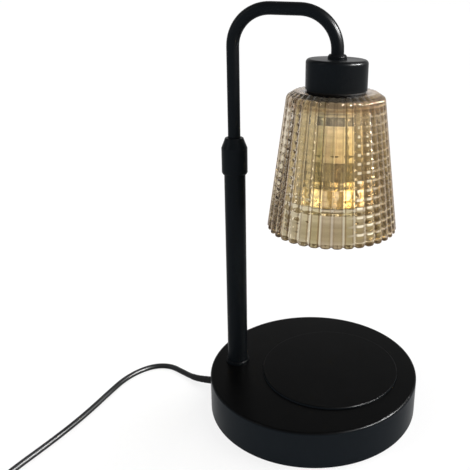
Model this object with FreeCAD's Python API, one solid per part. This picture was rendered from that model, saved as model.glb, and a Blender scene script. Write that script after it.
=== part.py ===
import FreeCAD, Part
import math
import os

# Candle warmer lamp: a weighted round base, a telescopic post with a twist-lock collar,
# a hooked arm that slides and swivels, a fluted glass shade over a reflector bulb, and a
# mains lead with an inline dimmer and a two-pin plug.
# Millimetres. Origin: centre of the base on the table. +Z up, +X from the post to the shade.

Vector = FreeCAD.Vector
UP = Vector(0, 0, 1)

# ---- clearances ----
FIT = 0.05            # radial, between a bore and what is fixed in it
RUN = 0.06            # radial, between a bore and what slides or turns in it
SEAT = 0.15           # axial, under a part that turns on a flat face
AIR = 0.4             # between shapes on different bodies that never touch
THROUGH = 1.0         # extra length of a cutter past the face that it leaves by

# ---- base ----
BASE_RADIUS = 75.0
BASE_TOP = 26.6       # height of the top face above the table
BASE_EDGE = 1.8       # rounding of the top edge
SHELL_WALL = 1.2
SHELL_LIFT = 0.5      # gap between its skirt and the table
FOOT_HEIGHT = 1.5
FOOT_INSET = 3.0
FOOT_WIDTH = 14.0
PLATE_THICKNESS = 1.2
PLATE_SCREW_INSET = 27.0
PLATE_SCREW_COUNT = 4
PAD_INSET = 14.0      # of the raised disc for the candle, from the rim
PAD_POST_GAP = 11.8   # between the disc and the trim ring of the post
PAD_RELIEF = 1.5
PAD_EDGE = 0.7
PLATE_SCREW_ANGLE = 45.0
WEIGHT_THICKNESS = 8.0
WEIGHT_MARGIN = 7.5   # from the shell's inner wall
WEIGHT_WEB = 4.0      # iron left over the post nut
WEIGHT_POCKET = 13.0  # radius of the recess for the post nut
BOSS_RADIUS = 4.0
SCREW_RADIUS = 1.5
SCREW_BITE = 9.0
SCREW_HEAD_RADIUS = 3.2
SCREW_HEAD_HEIGHT = 1.2
SCREW_SPARE = 1.0     # bore left past the end of a screw

# ---- post ----
POST_INSET = 18.0     # of the post's axis from the rim
POST_RADIUS = 7.15
POST_WALL = 1.0
POST_TOP = 184.0
POST_RING_HEIGHT = 2.2
POST_RING_WIDTH = 1.0
POST_RING_EDGE = 0.5
NIPPLE_RADIUS = 4.9
NIPPLE_BORE = 2.9
NIPPLE_TAIL = 0.5     # nipple left below its nut
NUT_HEIGHT = 5.0
NUT_FLATS = 16.0
WASHER_RADIUS = 10.0
WASHER_THICKNESS = 1.2
PLUG_LENGTH = 12.0    # threaded plug in the foot of the post
BUSH_LENGTH = 30.0
COLLET_LIP = 3.0
COLLET_LENGTH = 9.0
COLLET_TIP_WALL = 0.8
COLLET_SLITS = 4
COLLET_SLIT_WIDTH = 0.8

# ---- lock collar ----
COLLAR_RADIUS = 8.65
COLLAR_GRIP = 12.8    # length of it below the top of the post
COLLAR_SHOULDER = 5.0  # start of its taper, above the top of the post
COLLAR_RISE = 11.8    # its top, above the top of the post
COLLAR_TOP_RADIUS = 6.0
COLLAR_CHAMFER = 1.2
COLLAR_TOP_EDGE = 0.4

# ---- arm ----
ARM_REACH = 66.6      # from the post's axis to the lamp's
ARM_RADIUS = 4.1
ARM_WALL = 0.9
ARM_BEND = 24.0       # centreline radius
ARM_RISE = 29.2       # centreline of the crossing, above the cap
ARM_OVERLAP = 93.4    # length of it inside the post
GLIDE_LENGTH = 10.0
CLIP_THICKNESS = 0.8
CLIP_GROOVE = 0.35
CLIP_RADIUS = 5.55
CLIP_MOUTH = 70.0     # degrees left open in the spring clip
ARM_TAIL = 0.5        # arm left below the cap nut

# ---- cap and lamp holder ----
CAP_RADIUS = 19.8
CAP_HEIGHT = 18.9
CAP_WALL = 1.4
CAP_EDGE = 2.4
FERRULE_RADIUS = 6.1
FERRULE_HEIGHT = 2.8
FERRULE_BAND = 1.6    # straight part of its side
FERRULE_EDGE = 0.5
FERRULE_TAPER = 1.0
CAP_NUT_HEIGHT = 4.0
CAP_NUT_FLATS = 13.0
SLEEVE_RADIUS = 14.0
SLEEVE_WALL = 1.0
SLEEVE_TOP_WALL = 1.2
SLEEVE_DROP = 12.0    # its lower end, below the cap
HOLDER_DROP = 26.5    # lower face of the ceramic, below the cap
HOLDER_RISE = 7.0     # upper face of the ceramic, inside the cap
HOLDER_EDGE = 1.0
GRUB_RADIUS = 1.5
GRUB_HEAD_RADIUS = 2.4
GRUB_HEAD_HEIGHT = 1.8
GRUB_BITE = 3.0
PIN_PITCH = 10.0      # between the two bulb pins
PIN_NECK = 1.25
PIN_HEAD = 2.4
PIN_HEAD_HEIGHT = 2.4
LIP_THICKNESS = 1.6
PIN_ROOT = 4.0        # of the pin's neck inside the bulb base
SLOT_DEPTH = 8.0      # of the pocket behind the lip
BULB_TWIST = 25.0     # degrees from locked to free
CONTACT_THICKNESS = 1.0

# ---- shade ----
SHADE_CLEARANCE = 112.0  # from the base's top face to the rim
SHADE_HEIGHT = 90.9
SHADE_RIM_RADIUS = 43.6
SHADE_SHOULDER_RADIUS = 31.7
SHADE_SHOULDER_DROP = 3.3
SHADE_SHOULDER_EDGE = 2.6
SHADE_TOP_FLAT = 26.5  # radius where the shoulder meets the flat top
SHADE_TOP_EDGE = 2.0
SHADE_CEILING_EDGE = 1.5
SHADE_WALL = 3.0
SHADE_TOP_WALL = 3.2
FLUTE_COUNT = 36
FLUTE_DEPTH = 1.3
LIP_SLOPE = 0.8       # rise of the rim's underside towards the inside, per millimetre
LIP_LAND = 0.3        # flat left on the crests of the rim
RING_COUNT = 15       # prismatic rings moulded inside
RING_HEIGHT = 0.6
SHADE_HOLE = 14.6
GASKET_THICKNESS = 1.0
GASKET_WIDTH = 4.4
LOCK_RING_HEIGHT = 5.0
LOCK_RING_RADIUS = 18.3
LOCK_RING_NOTCHES = 18
LOCK_RING_NOTCH = 0.9

# ---- bulb ----
BULB_BODY = 50.0      # from the front face to the seat
BULB_BASE_RADIUS = 12.5
BULB_BASE_LENGTH = 18.0
BULB_BASE_EDGE = 1.0
BULB_NECK_RADIUS = 17.0
BULB_NECK_DROP = 33.0
BULB_FACE_RADIUS = 24.8
BULB_WALL = 1.2
BULB_BELL = 9.0       # rounding of the reflector's waist
BULB_RIM = 3.0        # straight rim of the reflector
LENS_THICKNESS = 3.0
LENS_DOME = 4.0       # width of the sloped edge of the lens
LENS_EDGE = 6.0
LENS_RIM = 1.2
CAPSULE_RADIUS = 5.0
CAPSULE_LENGTH = 22.0
CAPSULE_END = 4.5

# ---- mains lead ----
CORD_RADIUS = 2.0
LEAD_BEND = 10.5
GLAND_Z = 6.7
GLAND_BARREL = 2.75
GLAND_FLANGE = 3.8
GLAND_FLANGE_THICKNESS = 1.6
LEAD_TOP = 43.0
ARC_SHARE = 0.45      # of the shorter run, taken by each end of an arc
COIL_X = -22.0
COIL_Y = -142.3
COIL_MEAN_RADIUS = 23.6
COIL_BAND = 12.4      # width of the wound band
COIL_HEIGHT = 11.2
COIL_EDGE = 3.0
COIL_FOOT_EDGE = 1.0

# ---- inline dimmer ----
CABLE_Y = -170.0      # line that the dimmer and the plug lie on
DIMMER_X = -97.0
DIMMER_LENGTH = 48.0
DIMMER_WIDTH = 26.0
DIMMER_HEIGHT = 16.0
DIMMER_CORNER = 8.0
DIMMER_EDGE = 2.4
DIMMER_WALL = 1.6
CABLE_Z = 7.0         # height of the cable axis and of the case joint
WHEEL_RADIUS = 9.0
WHEEL_HEIGHT = 6.0
WHEEL_RISE = 3.0      # wheel above the case
WHEEL_NOTCHES = 20
WHEEL_NOTCH = 0.7
WHEEL_EDGE = 0.8
BOARD_THICKNESS = 1.6
BOARD_Z = 3.4
BOARD_MARGIN = 3.2
PILLAR_RADIUS = 1.5
POT_SIZE = 12.0
POT_HEIGHT = 3.6
SPINDLE_RADIUS = 2.0
SPINDLE_LENGTH = 6.0
CASE_SCREW_X = 17.5
CASE_SCREW_Y = 7.5
CASE_SCREW_RADIUS = 1.2
CASE_SCREW_HEAD = 2.2
CASE_SCREW_SINK = 1.8
CASE_SCREW_HEAD_HEIGHT = 1.2
CASE_BOSS = 2.8
RELIEF_LENGTH = 21.0
RELIEF_TIP = 2.9
RELIEF_ROOT = 4.2
RELIEF_COLLAR = 2.0
RELIEF_NECK = 3.1
RELIEF_PLAY = 0.2     # axial, between the neck and the wall that it grips
RELIEF_EDGE = 0.6

# ---- plug ----
PLUG_REAR_X = 29.0
PLUG_BODY = 34.0
PLUG_WIDTH = 34.0
PLUG_THICKNESS = 13.6
PLUG_REAR_WIDTH = 14.0
PLUG_REAR_THICKNESS = 11.4
PLUG_SHOULDER = 13.0  # from the rear to the broad part
PLUG_FLARE = 4.0      # further widening up to the face
PLUG_CORNER = 4.0
PLUG_PIN_RADIUS = 2.0
PLUG_PIN_LENGTH = 19.0
PLUG_PIN_SPACING = 18.6
PLUG_PIN_ROOT = 7.0
PLUG_PIN_ROOT_RADIUS = 1.6
PLUG_PIN_TIP = 1.5

# ---- sizes that follow ----
POST_X = POST_INSET - BASE_RADIUS
LAMP_X = POST_X + ARM_REACH
POST_RING_RADIUS = POST_RADIUS + FIT + POST_RING_WIDTH
PAD_LEFT = POST_X + POST_RING_RADIUS + PAD_POST_GAP
PAD_RADIUS = (BASE_RADIUS - PAD_INSET - PAD_LEFT) / 2
PAD_X = PAD_LEFT + PAD_RADIUS
PLATE_SCREW_CIRCLE = BASE_RADIUS - PLATE_SCREW_INSET
SHELL_CEILING = BASE_TOP - SHELL_WALL
PLATE_TOP = FOOT_HEIGHT + PLATE_THICKNESS
WEIGHT_TOP = SHELL_CEILING
WEIGHT_BOTTOM = WEIGHT_TOP - WEIGHT_THICKNESS
WEIGHT_RADIUS = BASE_RADIUS - SHELL_WALL - WEIGHT_MARGIN
WASHER_TOP = WEIGHT_TOP - WEIGHT_WEB
NUT_TOP = WASHER_TOP - WASHER_THICKNESS
NUT_BOTTOM = NUT_TOP - NUT_HEIGHT
POST_BORE = POST_RADIUS - POST_WALL
COLLAR_BOTTOM = POST_TOP - COLLAR_GRIP
COLLAR_TOP = POST_TOP + COLLAR_RISE
SHADE_RIM = BASE_TOP + SHADE_CLEARANCE
SHADE_TOP = SHADE_RIM + SHADE_HEIGHT
CAP_BOTTOM = SHADE_TOP + GASKET_THICKNESS
CAP_TOP = CAP_BOTTOM + CAP_HEIGHT
ARM_TOP = CAP_TOP + ARM_RISE
ARM_BOTTOM = POST_TOP - ARM_OVERLAP
GLIDE_BOTTOM = ARM_BOTTOM + 2 * CLIP_THICKNESS + SEAT
GLIDE_TOP = GLIDE_BOTTOM + GLIDE_LENGTH
SLEEVE_TOP = CAP_TOP - CAP_WALL
SLEEVE_BOTTOM = CAP_BOTTOM - SLEEVE_DROP
HOLDER_FACE = CAP_BOTTOM - HOLDER_DROP
HOLDER_TOP = CAP_BOTTOM + HOLDER_RISE
CAP_NUT_TOP = SLEEVE_TOP - SLEEVE_TOP_WALL
ARM_END = CAP_NUT_TOP - CAP_NUT_HEIGHT - ARM_TAIL
SLEEVE_BORE = SLEEVE_RADIUS - SLEEVE_WALL
SHADE_UNDER = SHADE_TOP - SHADE_TOP_WALL
LOCK_RING_TOP = SHADE_UNDER - GASKET_THICKNESS
BULB_SEAT = HOLDER_FACE - SEAT
BULB_FACE = BULB_SEAT - BULB_BODY
GLAND_OUTER_X = -(BASE_RADIUS + GLAND_FLANGE_THICKNESS)
DIMMER_LEFT = DIMMER_X - DIMMER_LENGTH / 2
DIMMER_RIGHT = DIMMER_X + DIMMER_LENGTH / 2

# ---- routes of the free lead, chosen by hand ----
LAMP_ROUTE = [
    (GLAND_OUTER_X, 0.0, GLAND_Z), (-86.5, 1.0, 6.4), (-95.8, 6.4, 4.3), (-105.2, 14.0, 2.4),
    (-116.2, 20.3, 2.0), (-128.4, 19.2, 2.0), (-138.6, 10.6, 2.0), (-146.0, -2.6, 2.0),
    (-150.0, -19.5, 2.0), (-154.2, -40.0, 2.0), (-159.8, -61.0, 2.0), (-167.0, -82.0, 2.0),
    (-175.0, -103.0, 2.0), (-181.0, -125.0, 2.0), (-180.5, -147.5, 2.0), (-172.5, -163.0, 2.6),
    (-157.5, -170.0, 5.2), (DIMMER_LEFT - RELIEF_LENGTH, CABLE_Y, CABLE_Z)]
COIL_ROUTE = [
    (DIMMER_RIGHT + RELIEF_LENGTH, CABLE_Y, CABLE_Z), (-40.5, -170.0, 5.3), (-30.5, -170.2, 2.6),
    (COIL_X, -170.0, 2.0)]
TAIL_ROUTE = [
    (COIL_X, -170.0, 9.2), (-13.0, -170.2, 9.2), (-3.5, -170.2, 8.2),
    (PLUG_REAR_X - RELIEF_LENGTH, CABLE_Y, CABLE_Z)]


def rounded_edges(points, radii, closed=False):
    """Edges through the points, with each corner replaced by a tangent arc of its radius."""
    count = len(points)
    entries, exits, arcs = [], [], []
    for index, corner in enumerate(points):
        if radii[index] == 0:
            entries.append(corner)
            exits.append(corner)
            arcs.append(None)
            continue
        back = (points[index - 1] - corner).normalize()
        ahead = (points[(index + 1) % count] - corner).normalize()
        half = back.getAngle(ahead) / 2
        reach = radii[index] / math.tan(half)
        inward = (back + ahead).normalize()
        middle = corner + inward * (radii[index] / math.sin(half) - radii[index])
        entries.append(corner + back * reach)
        exits.append(corner + ahead * reach)
        arcs.append(Part.Arc(entries[-1], middle, exits[-1]).toShape())
    edges = []
    for index in range(count):
        if arcs[index]:
            edges.append(arcs[index])
        follower = (index + 1) % count
        if (closed or follower) and (entries[follower] - exits[index]).Length > 1e-6:
            edges.append(Part.LineSegment(exits[index], entries[follower]).toShape())
    return edges


def turned(profile, axis_x=0.0):
    """Solid of revolution about a vertical axis; profile rows are radius, height and rounding."""
    points = [Vector(axis_x + row[0], 0, row[1]) for row in profile]
    radii = [row[2] if len(row) > 2 else 0 for row in profile]
    face = Part.Face(Part.Wire(rounded_edges(points, radii, closed=True)))
    return solid_of(face.revolve(Vector(axis_x, 0, 0), UP, 360))


def solid_of(shape):
    """The single solid of a shape, turned the right way out."""
    solid = Part.Solid(shape.Shells[0])
    if solid.Volume < 0:
        solid.reverse()
    return solid


def column(axis_x, axis_y, bottom, top, radius):
    """Vertical cylinder between two heights."""
    return Part.makeCylinder(radius, top - bottom, Vector(axis_x, axis_y, bottom), UP)


def ring(axis_x, bottom, top, outer, inner, outer_edge=0.0):
    """Vertical ring of rectangular section whose outer corners may be rounded."""
    return turned([(inner, bottom), (outer, bottom, outer_edge), (outer, top, outer_edge),
                   (inner, top)], axis_x)


def hex_nut(axis_x, bottom, top, flats, bore):
    """Hexagon nut with its flats across given, bored for its thread."""
    corner = flats / math.sqrt(3)
    points = [Vector(axis_x + corner * math.cos(math.radians(60 * step)),
                     corner * math.sin(math.radians(60 * step)), bottom) for step in range(6)]
    prism = Part.Face(Part.makePolygon(points + points[:1])).extrude(UP * (top - bottom))
    return prism.cut(column(axis_x, 0, bottom - THROUGH, top + THROUGH, bore))


def along_x(shape, start_x, axis_y, axis_z, direction=1):
    """A shape made about the vertical axis, laid along X with its foot at the start point."""
    laid = shape.copy()
    laid.Placement = FreeCAD.Placement(
        Vector(start_x, axis_y, axis_z), FreeCAD.Rotation(UP, Vector(direction, 0, 0)))
    return laid


def pipe(edges, radius):
    """Round bar swept along a chain of tangent edges."""
    first = edges[0]
    heading = first.tangentAt(first.FirstParameter)
    profile = Part.Wire(Part.Circle(first.valueAt(first.FirstParameter), heading, radius).toShape())
    return solid_of(Part.Wire(edges).makePipeShell([profile], True, False))


def plan_outline(centre_x, centre_y, height, length, width, corner):
    """Closed wire of a rectangle with rounded corners, at one height."""
    half_length = length / 2
    half_width = width / 2
    signs = [(-1, -1), (1, -1), (1, 1), (-1, 1)]
    points = [Vector(centre_x + sx * half_length, centre_y + sy * half_width, height)
              for sx, sy in signs]
    return Part.Wire(rounded_edges(points, [corner] * 4, closed=True))


def end_outline(centre_x, centre_y, centre_z, width, thickness, corner):
    """Closed wire of a rounded rectangle that stands across the X axis."""
    signs = [(-1, -1), (1, -1), (1, 1), (-1, 1)]
    points = [Vector(centre_x, centre_y + sy * width / 2, centre_z + sz * thickness / 2)
              for sy, sz in signs]
    return Part.Wire(rounded_edges(points, [corner] * 4, closed=True))


def around(shape, count, axis_x, axis_y=0.0):
    """Copies of a shape spaced evenly around a vertical axis."""
    copies = []
    for step in range(count):
        copy = shape.copy()
        copy.rotate(Vector(axis_x, axis_y, 0), UP, 360 * step / count)
        copies.append(copy)
    return copies


# ---------------------------------------------------------------- base

def base_shell():
    """Pressed steel pan with a raised disc, open below."""
    pan = turned([(0, BASE_TOP), (BASE_RADIUS, BASE_TOP, BASE_EDGE), (BASE_RADIUS, SHELL_LIFT),
                  (BASE_RADIUS - SHELL_WALL, SHELL_LIFT),
                  (BASE_RADIUS - SHELL_WALL, SHELL_CEILING), (0, SHELL_CEILING)])
    pad = turned([(0, SHELL_CEILING), (PAD_RADIUS, SHELL_CEILING),
                  (PAD_RADIUS, BASE_TOP + PAD_RELIEF, PAD_EDGE), (0, BASE_TOP + PAD_RELIEF)], PAD_X)
    hollow = column(PAD_X, 0, SHELL_CEILING - THROUGH, SHELL_CEILING + PAD_RELIEF,
                    PAD_RADIUS - SHELL_WALL)
    nipple_hole = column(POST_X, 0, SHELL_CEILING - THROUGH, BASE_TOP + THROUGH, NIPPLE_RADIUS + FIT)
    gland_hole = along_x(column(0, 0, 0, 2 * THROUGH + SHELL_WALL, GLAND_BARREL + FIT),
                         -BASE_RADIUS - THROUGH, 0, GLAND_Z)
    return pan.fuse(pad).cut(hollow).cut(nipple_hole).cut(gland_hole)


def plate_screw_places():
    """Centres of the screws that hold the base plate."""
    angles = [math.radians(PLATE_SCREW_ANGLE + 360 * step / PLATE_SCREW_COUNT)
              for step in range(PLATE_SCREW_COUNT)]
    return [(PLATE_SCREW_CIRCLE * math.cos(angle), PLATE_SCREW_CIRCLE * math.sin(angle))
            for angle in angles]


def base_weight():
    """Cast iron disc under the shell, with bosses that carry the base plate."""
    weight = column(0, 0, WEIGHT_BOTTOM, WEIGHT_TOP, WEIGHT_RADIUS)
    for x, y in plate_screw_places():
        weight = weight.fuse(column(x, y, PLATE_TOP, WEIGHT_BOTTOM, BOSS_RADIUS))
    weight = weight.cut(column(POST_X, 0, WEIGHT_BOTTOM - THROUGH, WASHER_TOP, WEIGHT_POCKET))
    weight = weight.cut(column(POST_X, 0, WASHER_TOP - THROUGH, WEIGHT_TOP + THROUGH, NIPPLE_RADIUS + FIT))
    for x, y in plate_screw_places():
        weight = weight.cut(column(x, y, PLATE_TOP - THROUGH, PLATE_TOP + SCREW_BITE, SCREW_RADIUS + FIT))
    return weight.removeSplitter()


def base_plate():
    """Steel disc that closes the pan."""
    plate = column(0, 0, FOOT_HEIGHT, PLATE_TOP, BASE_RADIUS - SHELL_WALL - FIT)
    for x, y in plate_screw_places():
        plate = plate.cut(column(x, y, FOOT_HEIGHT - THROUGH, PLATE_TOP + THROUGH, SCREW_RADIUS + FIT))
    return plate


def plate_screws():
    """Pan head screws up through the plate into the weight."""
    screws = []
    for x, y in plate_screw_places():
        head = column(x, y, FOOT_HEIGHT - SCREW_HEAD_HEIGHT, FOOT_HEIGHT, SCREW_HEAD_RADIUS)
        shank = column(x, y, FOOT_HEIGHT - SCREW_HEAD_HEIGHT / 2, PLATE_TOP + SCREW_BITE - SCREW_SPARE,
                       SCREW_RADIUS)
        screws.append(head.fuse(shank))
    return Part.makeCompound(screws)


def foot_ring():
    """Soft ring that the lamp stands on."""
    outer = BASE_RADIUS - FOOT_INSET
    return ring(0, 0, FOOT_HEIGHT, outer, outer - FOOT_WIDTH)


def cord_gland():
    """Grommet through the wall of the pan, flanged on both sides."""
    wall_start = GLAND_FLANGE_THICKNESS
    inner_wall = BASE_RADIUS - SHELL_WALL
    wall_end = wall_start + BASE_RADIUS - math.sqrt(inner_wall ** 2 - GLAND_FLANGE ** 2)
    body = column(0, 0, 0, wall_start, GLAND_FLANGE)
    body = body.fuse(column(0, 0, wall_start, wall_end, GLAND_BARREL))
    body = body.fuse(column(0, 0, wall_end, wall_end + GLAND_FLANGE_THICKNESS, GLAND_FLANGE))
    body = body.cut(column(0, 0, -THROUGH, wall_end + GLAND_FLANGE_THICKNESS + THROUGH, CORD_RADIUS + FIT))
    return along_x(body, GLAND_OUTER_X, 0, GLAND_Z)


# ---------------------------------------------------------------- post

def post_nipple():
    """Hollow threaded rod that ties the post to the base."""
    return ring(POST_X, NUT_BOTTOM - NIPPLE_TAIL, BASE_TOP + PLUG_LENGTH, NIPPLE_RADIUS, NIPPLE_BORE)


def post_washer():
    """Plain washer under the weight."""
    return ring(POST_X, NUT_TOP, WASHER_TOP, WASHER_RADIUS, NIPPLE_RADIUS + FIT)


def post_nut():
    """Hexagon nut that draws the nipple down."""
    return hex_nut(POST_X, NUT_BOTTOM, NUT_TOP, NUT_FLATS, NIPPLE_RADIUS + FIT)


def post_plug():
    """Threaded plug fixed in the foot of the post."""
    return ring(POST_X, BASE_TOP, BASE_TOP + PLUG_LENGTH, POST_BORE - FIT, NIPPLE_RADIUS + FIT)


def post_ring():
    """Trim ring around the foot of the post."""
    inner = POST_RADIUS + FIT
    top = BASE_TOP + POST_RING_HEIGHT
    return turned([(inner, BASE_TOP), (POST_RING_RADIUS, BASE_TOP),
                   (POST_RING_RADIUS, top, POST_RING_EDGE), (inner, top)], POST_X)


def post_tube():
    """Outer tube of the telescopic post."""
    return ring(POST_X, BASE_TOP, POST_TOP, POST_RADIUS, POST_BORE)


def post_bush():
    """Plastic guide in the top of the post, which the arm slides through."""
    return ring(POST_X, POST_TOP - BUSH_LENGTH, POST_TOP, POST_BORE - FIT, ARM_RADIUS + RUN)


def collet_tip_radius():
    """Outer radius of the collet's narrow end."""
    return ARM_RADIUS + RUN + COLLET_TIP_WALL


def collet():
    """Slit cone on the post that the collar squeezes on to the arm."""
    top = POST_TOP + COLLET_LENGTH
    body = turned([(ARM_RADIUS + RUN, POST_TOP), (POST_BORE, POST_TOP),
                   (POST_BORE, POST_TOP + COLLET_LIP), (collet_tip_radius(), top),
                   (ARM_RADIUS + RUN, top)], POST_X)
    slit = Part.makeBox(POST_RADIUS, COLLET_SLIT_WIDTH, COLLET_LENGTH,
                        Vector(POST_X, -COLLET_SLIT_WIDTH / 2, POST_TOP + COLLET_LIP))
    for copy in around(slit, COLLET_SLITS, POST_X):
        body = body.cut(copy)
    return body


def lock_collar():
    """Twist collar over the top of the post, tapered to the arm."""
    cavity_foot = POST_TOP - AIR
    lip_top = POST_TOP + COLLET_LIP
    cone_top = POST_TOP + COLLET_LENGTH + AIR
    return turned([(POST_RADIUS + RUN, COLLAR_BOTTOM),
                   (COLLAR_RADIUS - COLLAR_CHAMFER / 2, COLLAR_BOTTOM),
                   (COLLAR_RADIUS, COLLAR_BOTTOM + COLLAR_CHAMFER),
                   (COLLAR_RADIUS, POST_TOP + COLLAR_SHOULDER, COLLAR_CHAMFER),
                   (COLLAR_TOP_RADIUS, COLLAR_TOP, COLLAR_TOP_EDGE),
                   (ARM_RADIUS + AIR, COLLAR_TOP),
                   (ARM_RADIUS + AIR, cone_top),
                   (collet_tip_radius() + AIR, cone_top),
                   (POST_BORE + AIR, lip_top),
                   (POST_BORE + AIR, cavity_foot + 2 * AIR),
                   (POST_RADIUS + RUN, cavity_foot + 2 * AIR)], POST_X)


# ---------------------------------------------------------------- arm

def arm_path(bottom, end):
    """Centreline of the hook, from its lower end to its end over the lamp."""
    points = [Vector(POST_X, 0, bottom), Vector(POST_X, 0, ARM_TOP),
              Vector(LAMP_X, 0, ARM_TOP), Vector(LAMP_X, 0, end)]
    return rounded_edges(points, [0, ARM_BEND, ARM_BEND, 0])


def clip_levels():
    """Lower faces of the two spring clips that hold the glide on the arm."""
    return [GLIDE_BOTTOM - SEAT - CLIP_THICKNESS, GLIDE_TOP + SEAT]


def arm_tube():
    """Bent hook tube, grooved for its clips at the lower end."""
    tube = pipe(arm_path(ARM_BOTTOM, ARM_END), ARM_RADIUS)
    tube = tube.cut(pipe(arm_path(ARM_BOTTOM - THROUGH, ARM_END - THROUGH), ARM_RADIUS - ARM_WALL))
    for level in clip_levels():
        tube = tube.cut(ring(POST_X, level, level + CLIP_THICKNESS, ARM_RADIUS + THROUGH,
                             ARM_RADIUS - CLIP_GROOVE))
    return tube


def glide_bush():
    """Sliding sleeve between the arm and the inside of the post."""
    return ring(POST_X, GLIDE_BOTTOM, GLIDE_TOP, POST_BORE - RUN, ARM_RADIUS + RUN)


def glide_clips():
    """Spring clips in the arm's grooves, above and below the glide."""
    clips = []
    half_mouth = CLIP_MOUTH / 2
    inner = ARM_RADIUS - CLIP_GROOVE + FIT
    for level in clip_levels():
        thickness = CLIP_THICKNESS - FIT
        disc = Part.makeCylinder(CLIP_RADIUS, thickness, Vector(POST_X, 0, level), UP, 360 - CLIP_MOUTH)
        disc.rotate(Vector(POST_X, 0, 0), UP, half_mouth)
        clips.append(disc.cut(column(POST_X, 0, level - THROUGH, level + CLIP_THICKNESS + THROUGH, inner)))
    return Part.makeCompound(clips)


def arm_lead():
    """Lead inside the hook, from its lower end to the lamp holder."""
    return pipe(arm_path(ARM_BOTTOM, HOLDER_TOP), CORD_RADIUS)


def arm_ferrule():
    """Small collar between the hook and the cap."""
    inner = ARM_RADIUS + FIT
    top = CAP_TOP + FERRULE_HEIGHT
    return turned([(inner, CAP_TOP), (FERRULE_RADIUS, CAP_TOP),
                   (FERRULE_RADIUS, CAP_TOP + FERRULE_BAND, FERRULE_EDGE),
                   (FERRULE_RADIUS - FERRULE_TAPER, top), (inner, top)], LAMP_X)


# ---------------------------------------------------------------- cap and lamp holder

def holder_cap():
    """Drawn steel cup over the lamp holder, open below."""
    inner = CAP_RADIUS - CAP_WALL
    bore = ARM_RADIUS + FIT
    return turned([(bore, CAP_TOP), (CAP_RADIUS, CAP_TOP, CAP_EDGE), (CAP_RADIUS, CAP_BOTTOM),
                   (inner, CAP_BOTTOM), (inner, SLEEVE_TOP), (bore, SLEEVE_TOP)], LAMP_X)


def holder_sleeve():
    """Threaded sleeve hung under the cap; the glass is clamped on it."""
    bore = ARM_RADIUS + FIT
    sleeve = turned([(bore, SLEEVE_TOP), (SLEEVE_RADIUS, SLEEVE_TOP), (SLEEVE_RADIUS, SLEEVE_BOTTOM),
                     (SLEEVE_BORE, SLEEVE_BOTTOM), (SLEEVE_BORE, CAP_NUT_TOP), (bore, CAP_NUT_TOP)], LAMP_X)
    return sleeve.cut(grub_holes())


def grub_height():
    """Height of the two grub screws, inside the cap."""
    return HOLDER_TOP - 2 * GRUB_RADIUS


def grub_screws():
    """Two screws through the sleeve into the ceramic."""
    head = column(0, 0, 0, GRUB_HEAD_HEIGHT, GRUB_HEAD_RADIUS)
    shank = column(0, 0, -SLEEVE_WALL - GRUB_BITE, GRUB_HEAD_HEIGHT / 2, GRUB_RADIUS)
    screw = along_x(head.fuse(shank), LAMP_X + SLEEVE_RADIUS, 0, grub_height())
    return Part.makeCompound(around(screw, 2, LAMP_X))


def grub_holes():
    """Clearance for the grub screws."""
    drill = along_x(column(0, 0, -SLEEVE_WALL - GRUB_BITE - FIT, SLEEVE_WALL, GRUB_RADIUS + FIT),
                    LAMP_X + SLEEVE_RADIUS, 0, grub_height())
    return Part.makeCompound(around(drill, 2, LAMP_X))


def cap_nut():
    """Nut on the end of the arm, under the sleeve."""
    return hex_nut(LAMP_X, CAP_NUT_TOP - CAP_NUT_HEIGHT, CAP_NUT_TOP, CAP_NUT_FLATS, ARM_RADIUS + FIT)


def keyhole(bottom, top, half_width, entry_radius):
    """Curved slot for one bulb pin: a round entry and an arc to the locked place."""
    radius = PIN_PITCH / 2
    section = Part.makePolygon([Vector(LAMP_X, radius - half_width, bottom),
                                Vector(LAMP_X, radius + half_width, bottom),
                                Vector(LAMP_X, radius + half_width, top),
                                Vector(LAMP_X, radius - half_width, top),
                                Vector(LAMP_X, radius - half_width, bottom)])
    slot = Part.Face(section).revolve(Vector(LAMP_X, 0, 0), UP, -BULB_TWIST)
    slot = slot.fuse(column(LAMP_X, radius, bottom, top, half_width))
    entry = column(LAMP_X, radius, bottom, top, entry_radius)
    entry.rotate(Vector(LAMP_X, 0, 0), UP, -BULB_TWIST)
    return slot.fuse(entry)


def lampholder():
    """Ceramic block with two keyhole slots for the bulb pins."""
    block = turned([(0, HOLDER_FACE), (SLEEVE_BORE - FIT, HOLDER_FACE, HOLDER_EDGE),
                    (SLEEVE_BORE - FIT, HOLDER_TOP), (0, HOLDER_TOP)], LAMP_X)
    head_space = PIN_HEAD + AIR
    lip_top = HOLDER_FACE + LIP_THICKNESS
    narrow = keyhole(HOLDER_FACE - THROUGH, lip_top + THROUGH, PIN_NECK + AIR, head_space)
    wide = keyhole(lip_top, HOLDER_FACE + SLOT_DEPTH, head_space, head_space)
    for copy in around(narrow, 2, LAMP_X) + around(wide, 2, LAMP_X):
        block = block.cut(copy)
    return block.cut(grub_holes())


def holder_contacts():
    """Two contact discs at the ends of the pin pockets."""
    top = HOLDER_FACE + SLOT_DEPTH
    disc = column(LAMP_X, PIN_PITCH / 2, top - CONTACT_THICKNESS, top, PIN_HEAD)
    return Part.makeCompound(around(disc, 2, LAMP_X))


# ---------------------------------------------------------------- shade

def fluted_wire(height, crest_radius, depth):
    """Closed wire of outward arcs, one per flute, at one height of the shade."""
    edges = []
    step = 2 * math.pi / FLUTE_COUNT
    valley = crest_radius - depth
    for index in range(FLUTE_COUNT):
        corners = []
        for angle, radius in ((index - 0.5, valley), (index, crest_radius), (index + 0.5, valley)):
            corners.append(Vector(LAMP_X + radius * math.cos(angle * step),
                                  radius * math.sin(angle * step), height))
        edges.append(Part.Arc(*corners).toShape())
    return Part.Wire(edges)


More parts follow.
